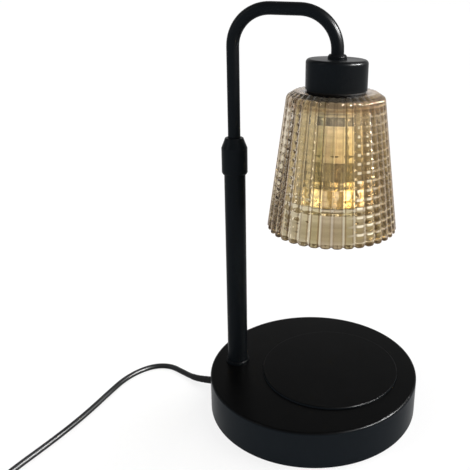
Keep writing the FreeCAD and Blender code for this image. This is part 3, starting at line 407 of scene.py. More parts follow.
def effect_group(effect: Effect) -> bpy.types.NodeTree:
    """The node group of a shared effect, built the first time that it is asked for."""
    found = bpy.data.node_groups.get(effect.value)
    if found:
        return found
    takes, gives, fill = {
        Effect.GRAIN: ({"Place": "Vector", "Fine": "Float", "Coarse": "Float"}, {"Height": "Float"},
                       fill_grain),
        Effect.HANDLING: ({"Place": "Vector", "Scale": "Float", "Low": "Float", "High": "Float"},
                          {"Roughness": "Float"}, fill_handling),
        Effect.DUST: ({"Place": "Vector", "Colour": "Color", "Dust": "Color", "Amount": "Float"},
                      {"Colour": "Color"}, fill_dust),
        Effect.STREAKS: ({"Place": "Vector", "Scale": "Float", "Stretch": "Vector"},
                         {"Height": "Float", "Mask": "Float"}, fill_streaks),
        Effect.CELLS: ({"Place": "Vector"}, {"Value": "Float", "Across": "Float", "Along": "Float"},
                       fill_cells),
    }[effect]
    group = bpy.data.node_groups.new(effect.value, "ShaderNodeTree")
    for sockets, way in ((takes, "INPUT"), (gives, "OUTPUT")):
        for name, kind in sockets.items():
            group.interface.new_socket(name=name, in_out=way, socket_type="NodeSocket" + kind)
    wiring = Wiring(group)
    entry = group.nodes.new("NodeGroupInput")
    leave = group.nodes.new("NodeGroupOutput")
    for name, socket in fill(wiring, entry.outputs).items():
        wiring.give(leave.inputs[name], socket)
    return group


def fill_grain(wiring: Wiring, given: Sockets) -> dict[str, Socket]:
    """Fine grain over a coarse orange-peel swell, as a height."""
    fine = wiring.noise(given["Place"], given["Fine"], 2.0)
    coarse = wiring.noise(given["Place"], given["Coarse"], 1.0)
    return {"Height": wiring.maths("ADD", wiring.times(fine, 0.45), wiring.times(coarse, 0.55))}


def fill_handling(wiring: Wiring, given: Sockets) -> dict[str, Socket]:
    """Cloudy change of roughness, as left by hands and cleaning."""
    cloud = wiring.patches(given["Place"], given["Scale"], 4.0)
    return {"Roughness": wiring.between(cloud, given["Low"], given["High"])}


def fill_dust(wiring: Wiring, given: Sockets) -> dict[str, Socket]:
    """A little dust on faces that look up, thicker in patches and with a few specks."""
    upward = wiring.spread(wiring.uprightness(), 0.5, 1.0)
    patches = wiring.spread(wiring.noise(given["Place"], 45.0, 5.0), 0.4, 0.75, 0.25, 1.0)
    specks = wiring.patches(given["Place"], 900.0, 2.0, (0.66, 0.74))
    cover = wiring.maths("ADD", wiring.times(patches, 0.35), specks)
    share = wiring.times(cover, upward, given["Amount"])
    return {"Colour": wiring.blend(share, given["Colour"], given["Dust"])}


def fill_streaks(wiring: Wiring, given: Sockets) -> dict[str, Socket]:
    """Fine lines drawn out along one direction, as brushing or drawing leaves them."""
    drawn = wiring.vectors("MULTIPLY", given["Place"], given["Stretch"])
    lines = wiring.noise(drawn, given["Scale"], 3.0)
    return {"Height": lines, "Mask": wiring.spread(lines, 0.4, 0.7)}


def fill_cells(wiring: Wiring, given: Sockets) -> dict[str, Socket]:
    """A chance value for each whole step of a map, and how far a point lies from the step's middle.

    Across and Along are 0 in the middle of a cell, at a whole number, and 1 at its border.
    """
    shifted = wiring.vectors("ADD", given["Place"], (0.5, 0.5, 0.0))
    cell = wiring.vectors("FLOOR", shifted)
    within = wiring.vectors("SUBTRACT", shifted, cell)
    across, along = (wiring.times(wiring.apart(wiring.part(within, axis), 0.5), 2.0)
                     for axis in "XY")
    chance = wiring.node("TexWhiteNoise", noise_dimensions="3D", Vector=cell).outputs["Value"]
    return {"Value": chance, "Across": across, "Along": along}


# ---------------------------------------------------------------- finishes

@dataclass(frozen=True)
class Finish:
    """A surface finish: its name, colour, roughness and grain."""

    name: str
    colour: Colour
    rough_low: float = 0.4
    rough_high: float = 0.5
    metallic: float = 0.0
    reflection: float = 0.5
    grain_fine: float = 1500.0
    grain_coarse: float = 300.0
    grain_depth: float = 0.00002
    grain_strength: float = 0.6
    handling: float = 60.0
    clouding: float = 130.0
    cloud_tone: float = 0.82
    dust: float = 0.0
    dust_colour: Colour = (0.30, 0.29, 0.27)

    def material(self) -> bpy.types.Material:
        """The finish's material, made the first time that it is asked for."""
        found = bpy.data.materials.get(self.name)
        if found:
            return found
        material = bpy.data.materials.new(self.name)
        material.use_nodes = True
        material.node_tree.nodes.clear()
        wiring = Wiring(material.node_tree)
        place = wiring.node("TexCoord").outputs["Object"]
        surface = wiring.node("BsdfPrincipled")
        wiring.node("OutputMaterial", Surface=surface.outputs["BSDF"])
        self.dress(wiring, place, surface)
        material.diffuse_color = (*self.colour, 1.0)
        return material

    def dress(self, wiring: Wiring, place: Socket, surface: bpy.types.Node) -> None:
        """Wires colour, roughness and relief into the surface shader.

        Args:
            wiring: the material's tree.
            place: coordinates on the piece.
            surface: the Principled shader.
        """
        handled = wiring.effect(Effect.HANDLING, Place=place, Scale=self.handling,
                                Low=self.rough_low, High=self.rough_high)
        bump = wiring.node("Bump", Strength=self.grain_strength, Distance=self.grain_depth,
                           Height=self.relief(wiring, place))
        for socket, value in (("Metallic", self.metallic), ("Specular IOR Level", self.reflection),
                              ("Base Color", self.tint(wiring, place)),
                              ("Roughness", handled["Roughness"]),
                              ("Normal", bump.outputs["Normal"])):
            wiring.give(surface.inputs[socket], value)

    def tint(self, wiring: Wiring, place: Socket) -> Socket:
        """Colour over the piece: faint clouding, then dust where it faces up."""
        shade = tuple(self.cloud_tone * part for part in self.colour)
        clouded = wiring.blend(wiring.patches(place, self.clouding, 3.0), shade, self.colour)
        return wiring.effect(Effect.DUST, Place=place, Colour=clouded,
                             Dust=(*self.dust_colour, 1.0), Amount=self.dust)["Colour"]

    def relief(self, wiring: Wiring, place: Socket) -> Socket:
        """Height of the fine grain."""
        return wiring.effect(Effect.GRAIN, Place=place, Fine=self.grain_fine,
                             Coarse=self.grain_coarse)["Height"]


@dataclass(frozen=True)
class Coat(Finish):
    """Baked coat with painted light: upright faces a little lighter and cooler than level ones."""

    # Painted light: colour of the upright faces.
    painted_side_light: Colour = (0.0052, 0.0068, 0.0084)
    tipping: Span = (0.1, 0.8)

    def tint(self, wiring: Wiring, place: Socket) -> Socket:
        """Colour by how far the face is tipped up: painted light on upright faces."""
        level = Finish.tint(self, wiring, place)
        return wiring.blend(wiring.spread(wiring.uprightness(), *self.tipping), self.painted_side_light, level)


@dataclass(frozen=True)
class DrawnMetal(Finish):
    """Bare or plated metal with fine lines from drawing or turning."""

    stretch: Point = (1.0, 1.0, 14.0)
    line_scale: float = 240.0

    def relief(self, wiring: Wiring, place: Socket) -> Socket:
        """Height of the drawn lines."""
        return wiring.effect(Effect.STREAKS, Place=place, Scale=self.line_scale,
                             Stretch=self.stretch)["Height"]


@dataclass(frozen=True)
class Glass(Finish):
    """Clear or tinted glass, with the slight waves of moulding."""

    grain_strength: float = 0.5
    handling: float = 70.0
    index: float = 1.5
    sheen: Colour = (1.0, 1.0, 1.0)
    swirls: float = 22.0
    swirl_tone: float = 1.25
    swirl_span: Span = (0.3, 0.7)

    def dress(self, wiring: Wiring, place: Socket, surface: bpy.types.Node) -> None:
        """Wires a transmitting surface, whose reflection takes the sheen's colour."""
        Finish.dress(self, wiring, place, surface)
        surface.inputs["Transmission Weight"].default_value = 1.0
        surface.inputs["IOR"].default_value = self.index
        surface.inputs["Specular Tint"].default_value = (*self.sheen, 1.0)

    def tint(self, wiring: Wiring, place: Socket) -> Socket:
        """Colour with slow swirls of a deeper tone."""
        deeper = tuple(part ** self.swirl_tone for part in self.colour)
        swirl = wiring.patches(place, self.swirls, 2.0, self.swirl_span)
        return wiring.blend(swirl, self.colour, deeper)


class ShadeMap(NamedTuple):
    """Places on the shade, as sockets.

    turns is its map of flutes and rings, turn and level are the map's two parts, and cells says
    where a point lies between two flutes and two rings. sideways is the place along X, the lit mask
    is 1 on the side where the windows stand and marks where painted light goes, and facing goes
    from
    0 at a surface seen straight on to 1 at its outline.
    """

    turns: Socket
    turn: Socket
    level: Socket
    cells: Sockets
    sideways: Socket
    painted_lit: Socket
    facing: Socket


@dataclass(frozen=True)
class LustreGlass(Glass):
    """Tinted glass whose flutes differ in tone, with painted light and shade on and between them.

    It is browner at its foot, at the shoulder, where the wall is thick, and where it turns out of
    sight. Painted light and shade: brown flanks and a pale line between flutes, bands and pale bars
    between rings, browner on its lit side, paler high up and in a band towards -X, one flute in
    painted shadow, painted glow on its outline and painted glints beside one seam. Levels and turns
    are counted on the shade's map; a span across or along a cell goes from 0 in its middle to 1 at
    its border.
    """

    mauve: Colour = (0.50, 0.39, 0.26)
    olive: Colour = (0.45, 0.40, 0.185)
    # Painted shade: brown of the flute flanks and of the bands between rings.
    line: Colour = (0.06, 0.025, 0.006)
    # Painted highlight: pale of the seams, the bars and the clearing.
    painted_pale: Colour = (0.95, 0.87, 0.76)
    edge: Colour = (0.15, 0.062, 0.011)
    foot: Colour = (0.085, 0.053, 0.012)
    # Painted light: brown tone of the side where the windows stand.
    painted_lit: Colour = (0.22, 0.13, 0.028)
    # Painted shadow on one flute.
    shadow: Colour = (0.17, 0.14, 0.17)
    # Painted glow at the outline, on the bars between rings and in the glints.
    painted_edge_glow: Colour = NO_LIGHT
    painted_bar_glow: Colour = NO_LIGHT
    painted_glint: Colour = NO_LIGHT
    # Shares; those of lines, seams, bands, bars, the lit side, the clearing and the shadow set
    # painted light and shade.
    line_share: float = 0.95
    painted_seam_share: float = 0.9
    band_share: float = 0.3
    painted_bar_share: float = 0.7
    edge_share: float = 0.8
    shoulder_share: float = 0.5
    foot_share: float = 0.85
    painted_lit_share: float = 0.85
    painted_clearing_share: float = 0.68
    shadow_share: float = 0.55
    painted_far_share: float = 0.8
    flute_share: float = 0.6
    faint: float = 0.45
    least_pale: float = 0.35
    foot_level: float = 5.5
    foot_reach: float = 3.0
    # Painted light: level where the paler clearing starts and how far it grows.
    painted_clearing_level: float = 11.0
    painted_clearing_reach: float = 2.5
    shoulder_level: float = 14.6
    shoulder_reach: float = 0.5
    # Painted shade: level of a dark line just under the inside ceiling.
    painted_dark_line_level: float = 15.2
    # Flute with the painted shadow, and the seam beside which the painted glints lie.
    shadow_turn: float = 22.0
    painted_glint_turn: float = 30.5
    streaks: Point = (1.6, 0.11, 1.0)
    warm_tone: Span = (0.1, 0.45)
    olive_tone: Span = (0.6, 0.95)
    # Painted light: spans along X of the lit side and of the paler band towards -X.
    painted_lit_side: Span = (0.022, 0.040)
    painted_far_side: Span = (0.004, -0.012)
    far_end: Span = (-0.032, -0.02)
    painted_high_end: Span = (-0.03, -0.018)
    shadow_width: Span = (0.3, 0.55)
    painted_dark_line_width: Span = (0.08, 0.22)
    rim_fade: Span = (0.2, 1.0)
    foot_fade: Span = (0.35, 0.75)
    # Spans across and along cells of painted shade lines, painted highlights and painted glints.
    flank: Span = (0.44, 0.64)
    seam: Span = (0.77, 0.85)
    ring_shade: Span = (0.2, 0.5)
    painted_ring_bar: Span = (0.7, 0.82)
    painted_ridge: Span = (0.66, 0.9)
    dot: Span = (0.6, 0.82)
    dot_column: Span = (0.8, 1.0)
    dot_levels: Span = (12.0, 3.0)
    dot_reach: Span = (0.15, 0.5)
    dot_side: Span = (0.2, 0.0)
    dot_top: Span = (13.8, 13.2)
    dot_foot: Span = (0.8, 1.4)
    outline: Span = (0.55, 0.95)
    # Spans of facing for the painted glow at the outline and on the ridges seen straight on.
    outline_light: Span = (0.45, 0.9)
    straight_on: Span = (0.9, 0.6)

    def dress(self, wiring: Wiring, place: Socket, surface: bpy.types.Node) -> None:
        """Adds painted light: glow at its outline and on the ridges of its lit side, and glints."""
        Glass.dress(self, wiring, place, surface)
        at = self.places(wiring, place)
        below = wiring.spread(at.level, self.shoulder_level,
                              self.shoulder_level - self.shoulder_reach)
        # Painted glow along the outline below the shoulder, and on the ring ridges of the lit side.
        painted_outline_glow = wiring.times(wiring.spread(at.facing, *self.outline_light), below)
        front = wiring.times(at.painted_lit, wiring.spread(at.facing, *self.straight_on))
        ridge = wiring.times(wiring.spread(at.cells["Along"], *self.painted_ridge, 0.0, front),
                             wiring.between(at.cells["Value"], 0.3, 1.0))
        barred = wiring.blend(ridge, wiring.blend(painted_outline_glow, NO_LIGHT, self.painted_edge_glow), self.painted_bar_glow)
        wiring.shine(surface, wiring.blend(self.painted_glints(wiring, at), barred, self.painted_glint), 1.0)

    def tint(self, wiring: Wiring, place: Socket) -> Socket:
        """Colour by flute, then its lines between flutes and rings, then its brown edges.

        The lines are painted shade on flanks and between rings and painted highlights on seams and
        bars.
        """
        at = self.places(wiring, place)
        flute = wiring.effect(Effect.CELLS,
                              Place=wiring.vectors("MULTIPLY", at.turns, (1.0, 0.0, 0.0)))
        deep = wiring.spread(at.level, self.foot_level, self.foot_level - self.foot_reach, 0.0,
                             self.foot_share)
        low = wiring.times(deep, wiring.spread(at.level, *self.rim_fade, self.faint, 1.0),
                           wiring.spread(at.facing, *self.foot_fade, 1.0, self.faint))
        body = wiring.blend(low, self.body(wiring, at, flute), self.foot)
        # Painted shade on flanks and between rings, then painted highlights on the bars and seams.
        lined = wiring.blend(self.painted_shade_lines(wiring, at, flute), body, self.line)
        bar = wiring.spread(at.cells["Along"], *self.painted_ring_bar, 0.0,
                            wiring.times(at.painted_lit, self.painted_bar_share))
        shown = wiring.times(wiring.between(flute["Value"], self.least_pale, 1.0),
                             wiring.between(deep, self.painted_seam_share, 0.5 * self.painted_seam_share))
        seam = wiring.spread(flute["Across"], *self.seam, 0.0, shown)
        split = wiring.blend(wiring.maths("MAXIMUM", seam, bar), lined, self.painted_pale)
        return wiring.blend(self.brown_edges(wiring, at), split, self.edge)

    def places(self, wiring: Wiring, place: Socket) -> ShadeMap:
        """Where a point lies on the shade."""
        turns = wiring.node("UVMap", uv_map="turns").outputs["UV"]
        sideways = wiring.part(place, "X")
        return ShadeMap(turns, wiring.part(turns, "X"), wiring.part(turns, "Y"),
                        wiring.effect(Effect.CELLS, Place=turns), sideways,
                        wiring.spread(sideways, *self.painted_lit_side),
                        wiring.node("LayerWeight", Blend=0.5).outputs["Facing"])

    def body(self, wiring: Wiring, at: ShadeMap, flute: Sockets) -> Socket:
        """Tone of each flute, drawn out along it, with painted light and shade in their places.

        It is painted paler high up and in a band towards -X, painted in shadow on one flute and
        browner on the lit side.
        """
        streak = wiring.effect(Effect.STREAKS, Place=at.turns, Scale=1.0, Stretch=self.streaks)
        wander = wiring.maths("ADD", wiring.times(flute["Value"], self.flute_share),
                              wiring.times(streak["Mask"], 1 - self.flute_share))
        warm = wiring.blend(wiring.spread(wander, *self.warm_tone), self.mauve, self.colour)
        main = wiring.blend(wiring.spread(wander, *self.olive_tone), warm, self.olive)
        # Painted light: paler high up and in a band towards -X; painted shadow on one flute;
        # browner on the lit side.
        painted_far = wiring.maths("MINIMUM", wiring.spread(at.sideways, *self.painted_far_side),
                           wiring.spread(at.sideways, *self.far_end))
        high = wiring.times(wiring.spread(at.level, self.painted_clearing_level,
                                          self.painted_clearing_level + self.painted_clearing_reach),
                            wiring.spread(at.sideways, *self.painted_high_end))
        clear = wiring.times(wiring.maths("MAXIMUM", high, wiring.times(painted_far, self.painted_far_share)),
                             self.painted_clearing_share)
        shade = wiring.spread(wiring.apart(at.turn, self.shadow_turn), *self.shadow_width,
                              self.shadow_share, 0.0)
        painted_paled = wiring.blend(shade, wiring.blend(clear, main, self.painted_pale), self.shadow)
        return wiring.blend(wiring.times(at.painted_lit, self.painted_lit_share), painted_paled, self.painted_lit)

    def painted_shade_lines(self, wiring: Wiring, at: ShadeMap, flute: Sockets) -> Socket:
        """Share of painted shade: brown flute flanks and fainter bands between rings."""
        drawn = wiring.spread(flute["Value"], 0.1, 0.9, 0.5 * self.line_share, self.line_share)
        uneven = wiring.times(wiring.between(at.cells["Value"], 0.5, 1.0),
                              wiring.between(at.painted_lit, 0.35 * self.band_share, self.band_share))
        return wiring.maths("MAXIMUM", wiring.spread(flute["Across"], *self.flank, 0.0, drawn),
                            wiring.spread(at.cells["Along"], *self.ring_shade, 0.0, uneven))

    def brown_edges(self, wiring: Wiring, at: ShadeMap) -> Socket:
        """Share of brown at the shoulder, of a painted dark line over it and at the outline."""
        thick = wiring.spread(at.level, self.shoulder_level,
                              self.shoulder_level + self.shoulder_reach, 0.0, self.shoulder_share)
        painted_dark_line = wiring.spread(wiring.apart(at.level, self.painted_dark_line_level), *self.painted_dark_line_width,
                               1.5 * self.shoulder_share, 0.0)
        rounding = wiring.spread(at.facing, *self.outline, 0.0, self.edge_share)
        return wiring.maths("MAXIMUM", wiring.maths("MAXIMUM", thick, painted_dark_line), rounding)

    def painted_glints(self, wiring: Wiring, at: ShadeMap) -> Socket:
        """Share of the painted glints in the two columns beside a seam, wider towards the rim."""
        bright = wiring.between(at.cells["Value"], 0.2, 1.0)
        column = wiring.spread(wiring.apart(at.turn, self.painted_glint_turn), *self.dot_column, bright,
                               0.0)
        reach = wiring.spread(at.level, *self.dot_levels, *self.dot_reach)
        narrow = wiring.spread(wiring.maths("SUBTRACT", at.cells["Across"], reach), *self.dot_side)
        return wiring.times(column, narrow, wiring.spread(at.cells["Along"], *self.dot),
                            wiring.spread(at.level, *self.dot_top),
                            wiring.spread(at.level, *self.dot_foot))


@dataclass(frozen=True)
class GlowingMirror(Finish):
    """Dichroic reflector: grey at its neck and lit gold where it opens, facet by facet."""

    dark: Colour = (0.55, 0.52, 0.42)
    dim: Colour = (0.075, 0.075, 0.06)
    glow_low: Colour = (0.12, 0.10, 0.055)
    glow_high: Colour = (0.95, 0.98, 0.94)
    opening: Span = (0.1705, 0.1685)
    # Painted shade: the glow falls to this share towards -X, over this span along X.
    painted_lit_side: Span = (-0.010, 0.012)
    painted_far_side: float = 0.2
    facet_span: Span = (0.3, 0.9)
    seam: Span = (0.7, 1.0)
    seam_share: float = 0.6
    strength: float = 1.9

    def dress(self, wiring: Wiring, place: Socket, surface: bpy.types.Node) -> None:
        """Wires the two zones by height and lets the facets of the open one shine unequally.

        Their glow is painted dimmer towards -X, as painted shade.
        """
        Finish.dress(self, wiring, place, surface)
        cells = wiring.effect(Effect.CELLS,
                              Place=wiring.node("UVMap", uv_map="turns").outputs["UV"])
        open_part = wiring.spread(wiring.part(place, "Z"), *self.opening)
        # Painted shade: the facets dim towards -X.
        turned = wiring.spread(wiring.part(place, "X"), *self.painted_lit_side, self.painted_far_side, 1.0)
        facet = wiring.times(wiring.spread(cells["Value"], *self.facet_span), turned)
        seam = wiring.spread(wiring.maths("MAXIMUM", cells["Across"], cells["Along"]), *self.seam,
                             0.0, self.seam_share)
        shining = wiring.blend(facet, self.glow_low, self.glow_high)
        bright = wiring.blend(seam, shining, self.glow_low)
        glow = wiring.blend(open_part, wiring.blend(facet, NO_LIGHT, self.dim), bright)
        wiring.give(surface.inputs["Base Color"], wiring.blend(open_part, self.dark, self.colour))
        wiring.shine(surface, glow, self.strength)


@dataclass(frozen=True)
class PaintedGlowCeramic(Finish):
    """Glazed ceramic with painted glow for the bulb's light beside it.

    The glow is warm up to a painted highlight on a lip at the step, and faint and cool above. A
    band of painted shade with glowing specks crosses the faint part.
    """

    # Painted glow, a painted highlight at the lip and a band of painted shade.
    painted_glow: Colour = (0.35, 0.355, 0.30)
    lip: Colour = (1.0, 0.94, 0.80)
    faint: Colour = (0.23, 0.28, 0.30)
    painted_shade_band: Colour = (0.09, 0.085, 0.08)
    speck_low: Colour = (0.08, 0.08, 0.08)
    speck_high: Colour = (0.55, 0.54, 0.50)
    step: float = 0.2090
    lip_reach: float = 0.0003
    lip_fade: float = 0.0004
    painted_band_rise: float = 0.0034
    painted_band_reach: float = 0.0022
    cooling: float = 0.6
    warm_scale: float = 90.0
    speck_scale: float = 420.0
    strength: float = 0.5

    def dress(self, wiring: Wiring, place: Socket, surface: bpy.types.Node) -> None:
        """Wires the painted glow and the painted shade band by height."""
        Finish.dress(self, wiring, place, surface)
        height = wiring.part(place, "Z")
        cooler = tuple(self.cooling * part for part in self.painted_glow)
        warm = wiring.blend(wiring.patches(place, self.warm_scale), cooler, self.painted_glow)
        specks = wiring.blend(wiring.patches(place, self.speck_scale), self.speck_low,
                              self.speck_high)
        # Painted shade band with glowing specks, and a painted highlight at the lip.
        painted_shade_band = self.near(wiring, height, self.step + self.painted_band_rise, self.painted_band_reach)
        lip = self.near(wiring, height, self.step - self.lip_reach, self.lip_reach)
        above = wiring.blend(wiring.spread(height, self.step, self.step + self.lip_fade), warm,
                             self.faint)
        wiring.give(surface.inputs["Base Color"],
                    wiring.blend(painted_shade_band, self.tint(wiring, place), self.painted_shade_band))
        wiring.shine(surface, wiring.blend(lip, wiring.blend(painted_shade_band, above, specks), self.lip),
                     self.strength)

    @staticmethod
    def near(wiring: Wiring, height: Socket, middle: float, reach: float) -> Socket:
        """One within a reach of a height, and zero a little further off."""
        return wiring.spread(wiring.apart(height, middle), reach, 1.4 * reach, 1.0, 0.0)


@dataclass(frozen=True)
class GlowingWire(Finish):
    """Lit filament."""

    hot: Colour = (1.0, 0.62, 0.25)
    hottest: Colour = (1.0, 0.8, 0.5)
    breathing: float = 900.0
    strength: float = 12.0

    def dress(self, wiring: Wiring, place: Socket, surface: bpy.types.Node) -> None:
        """Wires a warm glow that breathes along the wire."""
        Finish.dress(self, wiring, place, surface)
        wiring.shine(surface, wiring.blend(wiring.noise(place, self.breathing, 1.0), self.hot,
                                           self.hottest), self.strength)


# Coat of the post, collar, arm and cap, with painted light on its upright faces.
BLACK_COAT = Coat("satin_black_coat", (0.0022, 0.0027, 0.0033), 0.28, 0.34, reflection=0.025,
                  grain_fine=1400.0, grain_coarse=420.0, grain_depth=0.000035, dust=0.005)
# The base's copy of the coat: painted shade on its level faces, painted light on its upright ones.
PAINTED_LIGHT_BASE_COAT = Coat("satin_black_base_coat", (0.0011, 0.0012, 0.0013), 0.28, 0.34, reflection=0.018,
                 grain_fine=1400.0, grain_coarse=420.0, grain_depth=0.000035, dust=0.005,
                 painted_side_light=(0.0106, 0.0136, 0.0168))
# Outer and inner glass of the shade; their lit, pale, shadow, glow and glint colours are painted
# light and shade.
AMBER_LUSTRE = LustreGlass("amber_lustre_glass", (0.55, 0.46, 0.265), 0.004, 0.014,
                           grain_fine=160.0, grain_coarse=40.0, grain_depth=0.00008, index=1.42,
                           sheen=(1.0, 0.82, 0.52), painted_edge_glow=(0.045, 0.013, 0.0),
                           painted_bar_glow=(0.19, 0.14, 0.07), painted_glint=(0.80, 0.74, 0.58))
AMBER_GLASS = LustreGlass("amber_inner_glass", (0.86, 0.76, 0.48), 0.004, 0.014, grain_fine=160.0,
                          grain_coarse=40.0, grain_depth=0.00008, mauve=(0.82, 0.71, 0.52),
                          olive=(0.82, 0.75, 0.42), painted_lit=(0.80, 0.66, 0.38), line_share=0.2,
                          painted_seam_share=0.0, band_share=0.75, painted_bar_share=0.0, edge_share=0.3,
                          shoulder_share=0.35, foot_share=0.0, painted_clearing_share=0.0, shadow_share=0.0)
CLEAR_GLASS = Glass("clear_bulb_glass", (0.97, 0.96, 0.93), 0.01, 0.04, grain_fine=200.0,
                    grain_coarse=60.0, grain_depth=0.00003)
REFLECTOR = GlowingMirror("gold_reflector", (0.80, 0.66, 0.40), 0.12, 0.22, metallic=1.0,
                          grain_fine=300.0, grain_coarse=120.0, grain_depth=0.00006)
FILAMENT = GlowingWire("lit_filament", (0.5, 0.45, 0.4), 0.3, 0.4, metallic=1.0)
# Ceramic of the bulb's base and the lamp holder, with painted glow.
PAINTED_GLOW_CERAMIC = PaintedGlowCeramic("lit_ceramic", (0.80, 0.74, 0.62), 0.18, 0.3, grain_fine=500.0,
                          grain_coarse=160.0, grain_depth=0.00004)
CAST_IRON = Finish("raw_cast_iron", (0.06, 0.058, 0.056), 0.6, 0.8, metallic=0.7, grain_fine=700.0,
                   grain_coarse=260.0, grain_depth=0.0003)
DARK_STEEL = DrawnMetal("dark_plated_steel", (0.12, 0.12, 0.125), 0.35, 0.5, metallic=1.0,
                        grain_depth=0.00003)
ZINC_STEEL = DrawnMetal("zinc_plated_steel", (0.52, 0.53, 0.54), 0.3, 0.45, metallic=1.0,
                        grain_depth=0.00003)
BRASS = DrawnMetal("plain_brass", (0.68, 0.50, 0.22), 0.25, 0.4, metallic=1.0)
NICKEL = DrawnMetal("nickel_plated_brass", (0.66, 0.64, 0.60), 0.15, 0.28, metallic=1.0)
NYLON = Finish("black_nylon", (0.03, 0.03, 0.033), 0.4, 0.55, grain_depth=0.00003)
BLACK_PLASTIC = Finish("spark_textured_plastic", (0.008, 0.008, 0.009), 0.42, 0.58, reflection=0.12,
                       grain_fine=1700.0, grain_coarse=900.0, grain_depth=0.00008, dust=0.02)
BLACK_RUBBER = Finish("soft_black_rubber", (0.012, 0.012, 0.012), 0.6, 0.75, reflection=0.08,
                      grain_depth=0.00005)
SHEATH = Finish("flexible_sheath", (0.006, 0.0065, 0.0075), 0.34, 0.44, reflection=0.12,
                grain_fine=1200.0, grain_coarse=500.0, grain_depth=0.00004, dust=0.02)
BOARD = Finish("circuit_board", (0.03, 0.16, 0.07), 0.3, 0.4, grain_depth=0.00004)
TIE = Finish("woven_tie", (0.016, 0.016, 0.017), 0.7, 0.85, reflection=0.3, grain_fine=2200.0,
             grain_coarse=1200.0, grain_depth=0.00015)


def dress_nodes(finish: Finish, *names: str) -> None:
    """Gives a finish to CAD nodes, which keep their own meshes.

    Args:
        finish: to give.
        names: of the nodes.
    """
    for name in names:
        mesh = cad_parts[name].data
        mesh.materials.clear()
        mesh.materials.append(finish.material())
    log.info("%s on %s", finish.name, ", ".join(names))


def finish_piece(piece: Piece, body: str, slot: str, *finishes: Finish) -> Piece:
    """Dresses a new piece and lets it ride on a body.

    Args:
        piece: the new object.
        body: the body that it moves with.
        slot: the record's material slot; not used.
        finishes: its surfaces.

    Returns:
        The same object.
    """
    for finish in finishes:
        piece.data.materials.append(finish.material())
    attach(piece, body)
    log.info("%s: %s, on %s", piece.name, " and ".join(finish.name for finish in finishes), body)
    return piece


# ---------------------------------------------------------------- camera, light and floor

